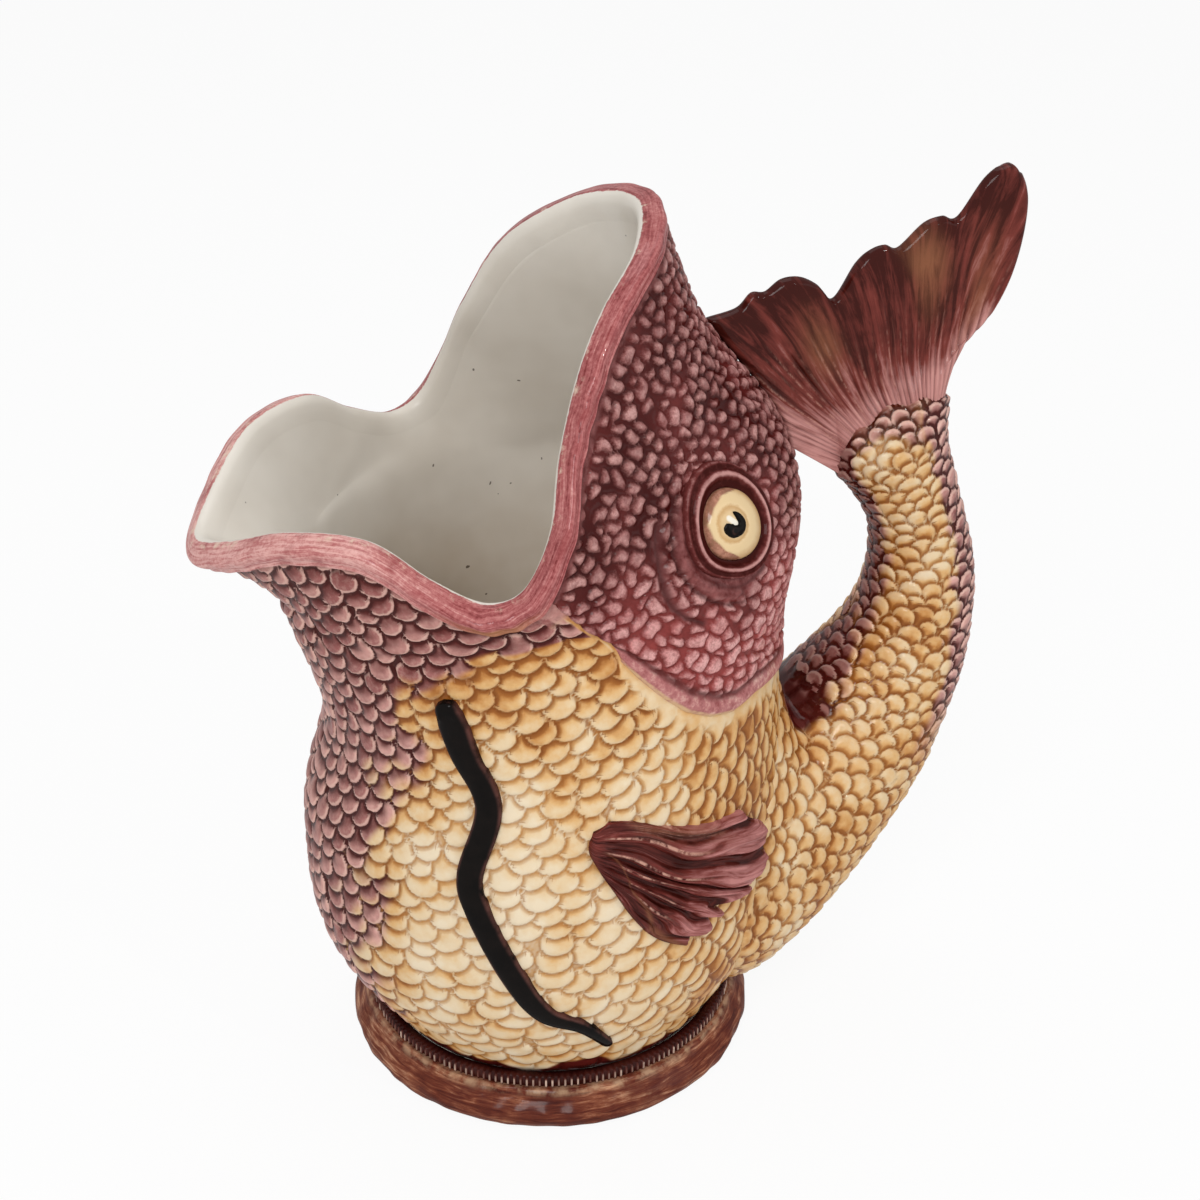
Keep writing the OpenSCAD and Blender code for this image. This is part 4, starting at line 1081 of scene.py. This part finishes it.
def tail_root(angle, u):
    """From the oval on the body, where it lies close to the skin, out to the first ring of the tube."""
    cos, sin = turned(angle)

    def boxy(x):
        return np.where(cos > 0, np.sign(x) * np.abs(x) ** 0.72, x)

    s = 180 - ROOT_HALF_S * boxy(sin)
    t = ROOT_T - ROOT_HALF_T * np.where(cos > 0, boxy(cos), 0.94 * cos)
    out, start = normal(s, t), skin(s, t, ROOT_SUNK)
    inward = surface(180.0, ROOT_T) - surface(s, t)
    inward = inward - out * (inward * out).sum(-1, keepdims=True)
    lift = 12 + 50 * clamp(cos) ** 0.8 + 8 * clamp(-cos)
    leave = inward * (0.72 - 0.34 * np.abs(cos))[..., None] + out * lift[..., None]
    end = tail_ring(0, angle)
    arrive = (tail_ring(1, angle) - end) * (1.55 - 0.25 * cos)[..., None]
    return hermite(start, leave, end, arrive, u[..., None])


# The fin's outline in x and z. Lobes are given along the line from the peak, where the fin's edge meets the
# head, to the tip, and the back edge along the line from the tail's end to the tip. Both are shares of the
# line's length, along it and beside it.
FIN_TIP = np.array([130.5, 254.0])
FIN_LOBES = [(0.0938, -0.0166), (0.1489, 0.0055), (0.1884, -0.0114), (0.2452, -0.0017), (0.2955, -0.0208),
             (0.3344, -0.0666), (0.3648, -0.1323), (0.4622, -0.0686), (0.5165, -0.0508), (0.5603, -0.0578),
             (0.5956, -0.0846), (0.6902, -0.0548), (0.7459, -0.0611), (0.7883, -0.085), (0.9056, -0.0158)]
FIN_BACK = [(0.1326, 0.0246), (0.2983, -0.0031), (0.4467, -0.0882), (0.64, -0.124), (0.8684, -0.0961)]
FIN_NECK = 0.25  # share of the fin's base between the head and the tail
FIN_FOOT_T, FIN_PEAK_T = 0.757, 0.885
FIN_THIN, FIN_WEB, FIN_MID, FIN_LONG = 2.2, 3.6, 3.4, 74  # half thicknesses, and about the fin's length
FIN_WAY = tail_dir(len(TAIL) - 1)
FIN_MIDDLE = np.array(TAIL[-1][:2]) + FIN_WAY * 0.25
FIN_SIDE = np.array([FIN_WAY[1], -FIN_WAY[0]]) * TAIL[-1][2]
FIN_A, FIN_B = FIN_MIDDLE - FIN_SIDE, FIN_MIDDLE + FIN_SIDE


def on_head(t):
    """x and z down the back of the head."""
    return skin(np.full_like(t, 180.0), t, HEAD_PROUD + 0.2)[..., [0, 2]]


def beside_line(a, b, shares):
    across = np.array([a[1] - b[1], b[0] - a[0]])
    return [a] + [a + (b - a) * along + across * beside for along, beside in shares] + [b]


FIN_FOOT, FIN_PEAK = on_head(np.array([FIN_FOOT_T, FIN_PEAK_T]))
FIN_EDGE, FIN_RIGHT = beside_line(FIN_PEAK, FIN_TIP, FIN_LOBES), beside_line(FIN_B, FIN_TIP, FIN_BACK)
FIN_UNDER = [FIN_FOOT, mix(FIN_FOOT, FIN_A, 0.6) + np.array([1, -0.6]), FIN_A]


def coons(left, right, base, edge, corners, a, r):
    """A patch between four curves that meet in the corners left base, right base, left edge, right edge."""
    a, r = a[..., None], r[..., None]
    c00, c10, c01, c11 = (np.array(corner, float) for corner in corners)
    return (left * (1 - a) + right * a + base * (1 - r) + edge * r
            - (c00 * (1 - a) * (1 - r) + c10 * a * (1 - r) + c01 * (1 - a) * r + c11 * a * r))


def past_neck(a):
    return clamp((a - FIN_NECK) / (1 - FIN_NECK))


def fin_point(a, r):
    """x and z at shares a along the fin's base and r out from it."""
    under = curve(FIN_UNDER, clamp(a / FIN_NECK))
    base = np.where((a < FIN_NECK)[..., None], under, FIN_A + (FIN_B - FIN_A) * past_neck(a)[..., None])
    return coons(on_head(mix(FIN_FOOT_T, FIN_PEAK_T, r)), curve(FIN_RIGHT, r), base, curve(FIN_EDGE, a),
                 (FIN_FOOT, FIN_B, FIN_PEAK, FIN_TIP), a, r)


def fin_half(a, r):
    """Half thickness of the fin: round where it leaves the tail, thin at the lobes."""
    oval = TAIL[-1][3] * np.sqrt(clamp(1 - (2 * past_neck(a) - 1) ** 2))
    root = np.where(a < FIN_NECK, FIN_WEB, np.maximum(FIN_WEB, oval))
    return mix(mix(root, FIN_MID, smooth(r * 1.7)), FIN_THIN, smooth(r))


def over_fin(angle, up):
    """A place up mm above the tail's end, on the base of the fin."""
    cos, sin = turned(angle)
    u = (1 + cos) / 2
    a, r = FIN_NECK + (1 - FIN_NECK) * u, up / FIN_LONG
    x, z = np.moveaxis(fin_point(clamp(a), r), -1, 0)
    return np.stack([x, fin_half(a, r) * sin / np.sqrt(np.clip(1 - (2 * u - 1) ** 2, 1e-6, 1)), z], -1)


def tail_piece():
    a1 = np.linspace(0, 360, TAIL_COLS, endpoint=False)
    root = tail_root(*cells(a1, np.linspace(0, 1, ROOT_ROWS, endpoint=False)))
    rings = np.stack([tail_ring(i, a1) for i in range(len(TAIL))])
    knots = np.linspace(0, 1, len(TAIL))
    levels = np.linspace(0, 1, TUBE_ROWS + 1)
    tube = np.stack([spline(knots, rings, np.full(TAIL_COLS, level)) for level in levels], 1)
    reach = np.pad(np.interp(turned(a1)[0], REACH_COS, REACH_MM), REACH_BLUR, mode="wrap")
    reach = np.convolve(reach, np.ones(2 * REACH_BLUR + 1) / (2 * REACH_BLUR + 1), "valid")
    cap = np.stack([over_fin(a1, reach * share) for share in np.linspace(0.02, 1, CAP_ROWS)], 1)
    flat = np.concatenate([root, tube, cap], 1)
    cols, rows = flat.shape[:2]
    step = np.linalg.norm(np.diff(flat, axis=1, prepend=flat[:, :1]), axis=-1)
    run = np.cumsum(step, axis=1)
    normals = unit(np.cross(np.roll(flat, -1, 0) - np.roll(flat, 1, 0), np.gradient(flat, axis=1)))
    out, points = normals.reshape(-1, 3), flat.reshape(-1, 3)
    way = unit(np.gradient(flat, axis=1)).reshape(-1, 3)
    way = unit(way - out * (way * out).sum(-1, keepdims=True))
    cos, row = (a.ravel() for a in cells(turned(a1)[0], np.arange(rows)))
    order = np.tile(np.cumsum(step.mean(0)), cols)
    end = (run[:, -1:] - run).ravel()
    tube_share, slim = rise(row, 0.5 * ROOT_ROWS, 0.9 * ROOT_ROWS), fall(end, 34, 24)
    wide, long = (mix(at_root, mix(on_tube, at_fin, slim), tube_share)
                  for at_root, on_tube, at_fin in (TAIL_WIDE, TAIL_LONG))
    scale = scales(points, way, np.cross(out, way), order, wide, long, 41)
    calm = rise(row / ROOT_ROWS, 0.01, 0.06)
    noise, own, up = blotch(points), scale["tone"] - 0.5, (row - ROOT_ROWS) / TUBE_ROWS
    aside = np.abs(points[:, 1]) - 1.5 * noise - 4 * own
    inner = smooth((-cos - np.interp(up, TAIL_UP, INNER_BAND) + 0.03 * noise + 0.08 * own) / 0.12 + 0.5)
    saddle = smooth((np.interp(up, SADDLE_UP, SADDLE_HALF) - aside) / 3 + 0.5) * rise(-cos, 0.2, 0.2)
    inner = np.maximum(inner * rise(row, 14, 20) * smooth((18 - aside) / 3 + 0.5), saddle * rise(row, 8, 26))
    outer = smooth((cos - np.interp(up, TAIL_UP, OUTER_BAND) + 0.05 * noise + 0.20 * own) / 0.16 + 0.5)
    near_fin = np.maximum(fall(end, 16 + 3 * noise + 6 * own, 6) * fall(cos, 0.50 + 0.3 * own, 0.35),
                          fall(end, 4.5 + 2 * noise, 3) * fall(cos, 0.8, 0.3))
    zone = np.maximum.reduce([inner, outer * rise(up, -0.1, 0.3), near_fin * 0.92])
    pool = inner * fall(row, ROOT_ROWS + 16, 24)  # glaze pools in the crease and hides the scales; its dark colour there is painted shade
    height = (scale["h"] - SCALE_MIDDLE) * calm * (1 - 0.85 * pool)
    height = height + rise(row, ROOT_ROWS + TUBE_ROWS - 12, 14)
    height = mix(-0.4, height, fall(row, rows - 1, 3.0))
    shade = np.maximum(0.8 * inner, 0.97 * pool)  # painted shade: the inside of the bend is darkest
    scale["sd"], scale["cov"] = mix(scale["sd"], 0.8, pool), scale["cov"] * (1 - shade)
    scale["deep"] = np.maximum(scale["deep"], 0.75 * shade)
    some = np.linspace(0, rows - 1, BORE_ROWS).round().astype(int)
    bore = flat[:, some] - normals[:, some] * TAIL_BACK
    amber = clamp(0.48 + 0.07 * noise - 0.02 * (1 - tube_share))
    front = flat + normals * height.reshape(cols, rows, 1)
    return Build().shell(front, bore, TAIL_SPLIT, dict(BARE_CLAY, amber=0.3), True, zone=zone, amber=amber,
                         plain=1 - calm, **{name: scale[name] for name in SCALE_VALUES})


tail_piece().object("tail_handle_skin", SCALED, "scaled_tail_glaze", ["tail_handle"])

# Tail fin
FIN_COLS, FIN_ROWS, FIN_SPLIT, FIN_MIN_HALF, TIP_R = 241, 121, 0.5, 0.35, 3.6


def blunt(points):
    """Rounds the fin's pointed tip."""
    a, b = unit(FIN_EDGE[-2] - FIN_TIP), unit(FIN_RIGHT[-2] - FIN_TIP)
    half_sine = math.sqrt((1 - a @ b) / 2)
    middle = FIN_TIP + unit(a + b) * TIP_R / half_sine
    away = points - middle
    far = np.linalg.norm(away, axis=-1)
    ahead = rise(away @ unit(-a - b) / np.maximum(far, 1e-6), half_sine - 0.25, 0.25)
    drawn_in = TIP_R * (1 - 0.3 * np.exp(-np.maximum(far / TIP_R - 0.7, 0) / 0.3))
    short = np.where(far > 0.7 * TIP_R, drawn_in, far)
    return middle + away * mix(1, short / np.maximum(far, 1e-6), ahead)[..., None]


def edge_inset(*gaps):
    """Rounds a sheet off towards its nearest edge. Each gap is the distance to an edge, as a share of the
    rounding's width."""
    return rounded(np.minimum.reduce(gaps))


def fin_piece():
    """Soft lobes between the notches, and fine grooves that fan out from the tail's end."""
    a, r = cells(np.linspace(0, 1, FIN_COLS), np.linspace(0, 1, FIN_ROWS))
    flat = blunt(fin_point(a, r))
    lobe = 0.5 + 0.5 * np.cos(2 * np.pi * (a * 4.2 + 0.10 * np.sin(5 * r)))
    fan = flat - (np.array(TAIL[-1][:2]) - FIN_WAY * 15)
    angle, far = np.arctan2(fan[..., 0], fan[..., 1]), np.linalg.norm(fan, axis=-1)
    turn = angle / 0.042 + 0.5 * np.sin(7 * angle) + 0.35 * np.sin(far / 9 + 4 * angle) + 60
    deep, first, last = np.moveaxis(np.random.default_rng(51).random((120, 3))[turn.astype(int)], -1, 0)
    groove = bell(turn % 1, 0.5, 0.18) * (0.25 + 0.75 * deep)
    groove = groove * rise(r, 0.15 * first, 0.1) * fall(r, 0.5 + 0.5 * last, 0.2)
    hair = 0.6 * bell(turn % 1, 0.12, 0.10) * last * rise(r, 0.12, 0.1) * fall(r, 0.8, 0.3)
    half = fin_half(a, r) + 0.7 * (lobe - 0.5) * smooth((r - 0.10) * 4) - 0.7 * groove
    half = np.maximum(half * edge_inset((1 - r) / 0.035, a / 0.02, (1 - a) / 0.02), FIN_MIN_HALF)
    near, far_side = (np.stack([flat[..., 0], side * half, flat[..., 1]], -1) for side in (-1, 1))
    tint = 0.74 - 0.56 * smooth((r - mix(0.10, 0.22, rise(a, 0.15, 0.3))) / 0.50)
    tint = tint + 0.22 * rise(a, 0.78, 0.12) * fall(r, 0.85, 0.25) - 0.14 * rise(r, 0.78, 0.2)
    warm = sum(share * bell(a, at, width) * bell(r, out, long) for share, at, out, width, long in (
        (0.9, 0.71, 0.86, 0.05, 0.15), (0.7, 0.28, 0.68, 0.07, 0.13), (0.6, 0.89, 0.64, 0.04, 0.16)))
    values = dict(tint=clamp(tint), groove=groove, warm=warm, hair=hair,
                  flow=np.stack([turn * 1.1, far / 20, 0 * r], -1))
    return Build().shell(near, far_side, FIN_SPLIT, values, **values)


fin_piece().object("tail_fin_skin", TAIL_FIN, "maroon_fin_glaze", ["tail_fin"])

# Side fins
SIDE_SPLIT = 0.7  # the UV map's share for the seen side of small pieces
SIDE_TOP = [(85.5, 0.497), (92, 0.506), (103, 0.482), (116, 0.458), (127, 0.449)]
SIDE_LOW = [(87, 0.440), (91, 0.398), (95, 0.355), (100, 0.315), (107.8, 0.285)]
SIDE_ROOT = [SIDE_TOP[0], (84.6, 0.470), SIDE_LOW[0]]
SIDE_EDGE = [SIDE_TOP[-1], (134, 0.415), (137.5, 0.36), (135.5, 0.318), (131, 0.325), (127.5, 0.302),
             (121, 0.307), (117, 0.284), SIDE_LOW[-1]]
# How far out the lobes of the free edge reach, and the amber line, as shares down (a) and out (r) of the fin
SIDE_LOBE_A = [0, 0.15, 0.27, 0.33, 0.40, 0.50, 0.56, 0.61, 0.66, 0.75, 0.88, 0.95, 1]
SIDE_LOBE_R = [0.97, 0.98, 0.98, 0.87, 0.91, 0.93, 0.89, 0.80, 0.85, 0.91, 0.91, 0.94, 0.98]
SIDE_LINE_R, SIDE_LINE_A = [0.1, 0.18, 0.30, 0.62, 0.9, 1.0], [0.35, 0.47, 0.79, 0.955, 0.975, 0.99]
SIDE_FOLDS, SIDE_COLS, SIDE_ROWS = 6, 201, 161


def side_fin():
    """Folds that are narrow near the root and broad at the free edge, with finer ripples on them."""
    a, r = cells(np.linspace(0, 1, SIDE_COLS), np.linspace(0, 1, SIDE_ROWS))
    bend = a + 0.020 * np.sin(7 * r + 6 * a) + 0.012 * np.sin(17 * r + 11 * a)
    wave = np.cos(2 * np.pi * SIDE_FOLDS * bend)
    short = 1 - np.interp(a, SIDE_LOBE_A, SIDE_LOBE_R) + 0.02 * (1 - wave)
    reach = r * (1 - short * rise(r, 0.3, 0.7))
    place = coons(curve(SIDE_TOP, reach), curve(SIDE_LOW, reach), curve(SIDE_ROOT, a), curve(SIDE_EDGE, a),
                  (SIDE_TOP[0], SIDE_LOW[0], SIDE_TOP[-1], SIDE_LOW[-1]), a, reach)
    s, t = place[..., 0], place[..., 1]
    crest = smooth((wave - mix(-0.35, -0.97, smooth(r * 1.3 - 0.1))) / 0.7)
    fine = np.cos(2 * np.pi * (17 * bend + 0.3 * np.sin(9 * r)))
    finer = np.cos(2 * np.pi * (41 * bend + 0.2 * np.sin(23 * r)))
    arch = np.sin(np.pi * mix(0.06, 0.94, a)) ** 0.5
    height = 0.8 + 4.4 * arch * mix(0.45, 1, smooth(r * 1.4)) + rise(r, 0.6, 0.4)
    height = height + 0.7 * (wave - 1) * smooth(r * 3)
    cut = 1.2 * (1 - crest) + 0.22 * (1 - fine) + 0.10 * (1 - finer)
    height = np.maximum(height - smooth(r * 4) * cut, 1.3)
    height = height * edge_inset((1 - r) / 0.05, r / 0.04, a / 0.04, (1 - a) / 0.04) * 0.9
    low = 2.4 * rise(s, 122, 10) - 0.6
    # an amber line sets off a dark border below it, a painted shadow; the upper fold is amber too
    border = np.interp(r, SIDE_LINE_R, SIDE_LINE_A)
    inside = fall(a, border, 0.03)
    warm = bell(a, border, 0.022) * rise(r, 0.05, 0.1)
    warm = warm + 0.75 * bell(a, 0.06, 0.06) * rise(r, 0.22, 0.12) * fall(r, 0.82, 0.1)
    tint = 0.20 + 0.49 * crest * rise(r, mix(0.34, 0.55, a), 0.36) * inside * (1 - 0.15 * (1 - fine))
    hair = bell(wave, 1, 0.07) * rise(r, 0.06, 0.1) * fall(r, 0.66, 0.2) * inside
    hair = np.maximum(hair, 0.6 * rise(finer, 0.55, 0.3) * warm * (a < 0.2))
    # the grooves also carry the dark border below the amber line, a painted shadow
    groove = np.maximum((1 - crest) * smooth(r * 5), 0.6 * (1 - inside)) * (1 - clamp(warm))
    values = dict(tint=clamp(tint), groove=groove, warm=clamp(warm), hair=hair,
                  flow=np.stack([bend * 46, r * 5.0, 0 * r], -1))
    front = skin(s, t, np.maximum(height, low + 0.25))
    return Build().shell(front, skin(s, t, low), SIDE_SPLIT, values, **values)


# Wavy black strips on the flanks
EEL_PATH = [(54.4, 0.716), (56.3, 0.628), (61.5, 0.54), (58.5, 0.44), (61, 0.38), (68, 0.28), (75, 0.20),
            (84, 0.16), (92, 0.09)]
EEL_HALF_W, EEL_H, EEL_SUNK, EEL_COLS, EEL_ROWS = 3.65, 2.6, -0.7, 220, 29
EEL_EYE_U, EEL_EYE_C, EEL_NECK_U = 0.030, 0.55, 0.075


def ahead_of(path, u):
    """Two places on a path, just before and just after u."""
    return curve(path, np.maximum(u - 0.01, 0)), curve(path, np.minimum(u + 0.01, 1))


def half_round(count):
    """Places from -1 to 1 across a strip, closer together towards its edges."""
    return np.cos(np.linspace(np.pi, 0, count))


def eel():
    """A strip with a faint neck behind the head and two small eyes."""
    u, across = cells(np.linspace(0, 1, EEL_COLS), half_round(EEL_ROWS))
    s, t = np.moveaxis(curve(EEL_PATH, u), -1, 0)
    before, after = (surface(q[..., 0], q[..., 1]) for q in ahead_of(EEL_PATH, u))
    way = unit(round_way(s, t))
    x, y = ((after - before) * way).sum(-1), ((after - before) * np.cross(way, normal(s, t))).sum(-1)
    tips = np.clip(1 - (1 - clamp(np.minimum(u / 0.022, (1 - u) / 0.035))) ** 2.6, 0.001, 1) ** 0.42
    half = np.where(u < 0.06, mix(0.75, 1.1, u / 0.06), mix(1.1, 0.95, smooth((u - 0.06) * 6)))
    half = EEL_HALF_W * half * mix(1, 0.45, rise(u, 0.6, 0.4)) * tips / np.hypot(x, y)
    s, t = nearby(s, t, -y * half * across, x * half * across)
    arch = np.sqrt(clamp(1 - across * across))
    height = 0.85 + (EEL_H + EEL_SUNK) * arch ** 0.8 * mix(1, 0.6, u) * tips
    height = height - 0.25 * bell(u, EEL_NECK_U, 0.02) * arch
    for side in (-EEL_EYE_C, EEL_EYE_C):
        height = height + 0.45 * bell(u, EEL_EYE_U, 0.009) * bell(across, side, 0.22)
    return Build().shell(skin(s, t, height), skin(s, t, EEL_SUNK), SIDE_SPLIT, dict(edge=1.0),
                         edge=rise(np.abs(across), 0.72, 0.25))


# Eyes
ORBIT_R, BALL_R, BALL_H, BALL_EDGE = 14.5, 9.0, 4.0, 0.8
ORBIT_SUNK, BALL_SUNK, PUPIL_SUNK = -1.9, -1.8, -0.25
EYE_LIFT = HEAD_PROUD + 0.25
# Height of the orbit and how much pink shows on it, for shares from the ball outwards
ORBIT_U = [0, 0.10, 0.24, 0.38, 0.48, 0.57, 0.68, 0.80, 0.90, 0.96, 1.0]
ORBIT_Z = [0.5, 0.55, 0.95, 1.9, 2.3, 2.15, 1.5, 1.55, 1.5, 0.7, -1.2]
RIDGE_U = [0, 0.22, 0.36, 0.46, 0.55, 0.64, 0.82, 0.90, 0.96, 1.0]
RIDGE = [0.0, 0.05, 0.35, 0.95, 0.75, 0.15, 0.12, 0.55, 0.40, 0.2]
# The eye's level line lies askew to the surface; above and below its inner corner the lids cover the ball
EYE_AXIS = (0.57, 0.82)
LID_UP = [-9, -8.4, -6.1, -2.7, 0.6, 4.3, 7.0, 7.66, 9]
LID_ACROSS = [3.5, 1.6, -4.1, -7.5, -8.7, -6.65, -3.87, -1.83, 3]
# A black comma: a round spot with a leaf that curls up round its side
PUPIL_PATH = [(1.45, 3.8), (1.35, 2.15), (0.62, 0.45), (-1.0, -0.05), (-2.5, 1.2), (-2.6, 2.9), (-2.0, 4.1)]
PUPIL_HALF = [0.25, 0.85, 1.15, 1.35, 1.6, 1.5, 0.8]
PUPIL_COLS, PUPIL_ROWS = 64, 17


def eye_skin(x, y, height):
    """Points at a height over the head, x mm round and y mm up from the eye's middle."""
    s, t = nearby(np.full(x.shape, EYE_S), np.full(x.shape, EYE_T), x, y)
    return skin(s, t, EYE_LIFT + height)


def dome(share):
    return BALL_EDGE + (BALL_H - BALL_EDGE) * np.sqrt(clamp(1 - share * share))


def orbit_piece():
    angle, u = cells(np.arange(0, 360, 2.5), np.linspace(0, 1, 44))
    cos, sin = turned(angle)
    radius = mix(BALL_R + 0.15, ORBIT_R + 0.2, u)
    height = spline(ORBIT_U, np.array(ORBIT_Z)[:, None], u.ravel()).reshape(u.shape)
    x, y = radius * cos, radius * sin
    return Build().shell(eye_skin(x, y, height), eye_skin(x, y, ORBIT_SUNK), SIDE_SPLIT, dict(ridge=0.2),
                         True, ridge=np.interp(u, RIDGE_U, RIDGE))


def ball_piece():
    angle, u = cells(np.arange(0, 360, 3.0), np.linspace(0.02, 1, 40))
    cos, sin = turned(angle)
    x, y = BALL_R * u * cos, BALL_R * u * sin
    across, up = x * EYE_AXIS[0] - y * EYE_AXIS[1], x * EYE_AXIS[1] + y * EYE_AXIS[0]
    ring = np.hypot(across + 2.2, up - 0.3) / BALL_R
    lid = smooth((np.interp(up, LID_UP, LID_ACROSS) - across) / 0.5 + 0.5)
    glint = fall(np.hypot(x + 0.5, y - np.clip(y, 1.4, 4.0)), 0.9, 0.4)
    height = dome(u) - 0.10 * bell(ring, 0.5, 0.04) * (u < 0.9) - 0.15 * lid
    return Build().bowl(eye_skin(x, y, height), eye_skin(x, y, BALL_SUNK), SIDE_SPLIT, dict(ring=1.0),
                        ring=ring, lid=lid, glint=glint)


def pupil_piece():
    u, across = cells(np.linspace(0, 1, PUPIL_COLS), half_round(PUPIL_ROWS))
    before, after = ahead_of(PUPIL_PATH, u)
    way = unit(after - before)
    half = np.interp(u, np.linspace(0, 1, len(PUPIL_HALF)), PUPIL_HALF)
    half = half * np.sqrt(np.clip(1 - (1 - clamp(np.minimum(u / 0.06, (1 - u) / 0.12))) ** 2, 0.02, 1))
    x, y = np.moveaxis(curve(PUPIL_PATH, u), -1, 0)
    x, y = x - way[..., 1] * half * across, y + way[..., 0] * half * across
    base = dome(np.hypot(x, y) / BALL_R)
    swirl = 0.8 * bell(np.hypot(x + 2.4, y - 1.3), 0.75, 0.22)
    return Build().shell(eye_skin(x, y, base + 0.12 + 0.5 * np.sqrt(clamp(1 - across * across))),
                         eye_skin(x, y, base + PUPIL_SUNK), SIDE_SPLIT, dict(edge=0.0), edge=swirl)


for make, name, material, slot in ((side_fin, "pectoral_fin", SIDE_FIN, "maroon_side_fin_glaze"),
                                   (eel, "eel", BLACK, "black_glaze"),
                                   (orbit_piece, "orbit", orbit_glaze("orbit_glaze"), "orbit_glaze"),
                                   (ball_piece, "eyeball", eye_glaze("eye_glaze"), "cream_eye_glaze"),
                                   (pupil_piece, "pupil", BLACK, "black_glaze")):
    build = make()
    for side in ("far", "near"):
        build.object(f"{name}_{side}_skin", material, slot, [f"{name}_{side}"], mirror=side == "near")

# Floor, light and camera
scene = bpy.context.scene
scene.view_settings.view_transform = "Standard"
FLOOR_HALF, FLOOR_GREY, FLOOR_GLOW, WORLD_LIGHT = 4.0, 0.9, 0.92, 0.42


def seen_rays(tree):
    """1 for rays that show the plain background: from the camera, through glass and off gloss."""
    path = tree.nodes.new("ShaderNodeLightPath")
    result = path.outputs["Is Camera Ray"]
    for name in ("Is Transmission Ray", "Is Glossy Ray"):
        node = tree.nodes.new("ShaderNodeMath")
        node.operation = "MAXIMUM"
        tree.links.new(result, node.inputs[0])
        tree.links.new(path.outputs[name], node.inputs[1])
        result = node.outputs[0]
    return result


def blend(tree, share, lit, seen, output):
    """Sends two shaders to the output, mixed by a share."""
    shader = tree.nodes.new("ShaderNodeMixShader")
    for socket, value in zip(shader.inputs, (share, lit.outputs[0], seen.outputs[0])):
        tree.links.new(value, socket)
    tree.links.new(shader.outputs[0], tree.nodes.new(output).inputs["Surface"])


def plain_floor():
    mesh = bpy.data.meshes.new("studio_floor")
    corners = [(x * FLOOR_HALF, y * FLOOR_HALF, 0) for x, y in ((-1, -1), (1, -1), (1, 1), (-1, 1))]
    mesh.from_pydata(corners, [], [(0, 1, 2, 3)])
    floor = bpy.data.objects.new("studio_floor", mesh)
    scene.collection.objects.link(floor)
    material = bpy.data.materials.new("studio_floor")
    material.use_nodes = True
    tree = material.node_tree
    tree.nodes.clear()
    lit = tree.nodes.new("ShaderNodeBsdfDiffuse")
    lit.inputs["Color"].default_value = (FLOOR_GREY, FLOOR_GREY, FLOOR_GREY, 1)
    share = tree.nodes.new("ShaderNodeMath")
    share.operation = "MULTIPLY"
    tree.links.new(seen_rays(tree), share.inputs[0])
    share.inputs[1].default_value = FLOOR_GLOW
    blend(tree, share.outputs[0], lit, tree.nodes.new("ShaderNodeEmission"), "ShaderNodeOutputMaterial")
    mesh.materials.append(material)


def white_world():
    scene.world = bpy.data.worlds.new("studio")
    scene.world.use_nodes = True
    tree = scene.world.node_tree
    tree.nodes.clear()
    lit, seen = (tree.nodes.new("ShaderNodeBackground") for _ in range(2))
    for node, strength in ((lit, WORLD_LIGHT), (seen, 1.0)):
        node.inputs["Color"].default_value = (1, 1, 1, 1)
        node.inputs["Strength"].default_value = strength
    blend(tree, seen_rays(tree), lit, seen, "ShaderNodeOutputWorld")


def lamp(name, at, power, size):
    """A square soft lamp that faces the jug's middle."""
    data = bpy.data.lights.new(name, "AREA")
    data.energy, data.size = power, size
    light = bpy.data.objects.new(name, data)
    light.location = at
    light.rotation_euler = (Vector(JUG_MIDDLE) - Vector(at)).to_track_quat("-Z", "Y").to_euler()
    scene.collection.objects.link(light)


plain_floor()
white_world()
JUG_MIDDLE = (0.02, 0.0, 0.12)
lamp("key", (-0.50, -0.95, 1.05), 9.0, 0.5)
lamp("fill", (1.05, -0.75, 0.60), 1.6, 0.7)
lamp("top", (0.05, 0.45, 1.30), 3.0, 0.7)
lamp("spark", (0.42, -0.70, 0.80), 0.9, 0.04)

CAMERA_PLACE, CAMERA_AZIMUTH, CAMERA_ELEVATION = Vector((-121.527, -470.712, 404.915)) * MM, -16.277, 28.617
lens = bpy.data.cameras.new("camera")
lens.sensor_width, lens.lens = 36.0, 60.0
lens.clip_start, lens.clip_end = 0.01, 50.0
camera = bpy.data.objects.new("camera", lens)
azimuth, elevation = math.radians(CAMERA_AZIMUTH), math.radians(CAMERA_ELEVATION)
backward = Vector((math.sin(azimuth) * math.cos(elevation), -math.cos(azimuth) * math.cos(elevation),
                   math.sin(elevation)))
camera.location = CAMERA_PLACE
camera.rotation_euler = (-backward).to_track_quat("-Z", "Y").to_euler()
scene.collection.objects.link(camera)
scene.camera = camera
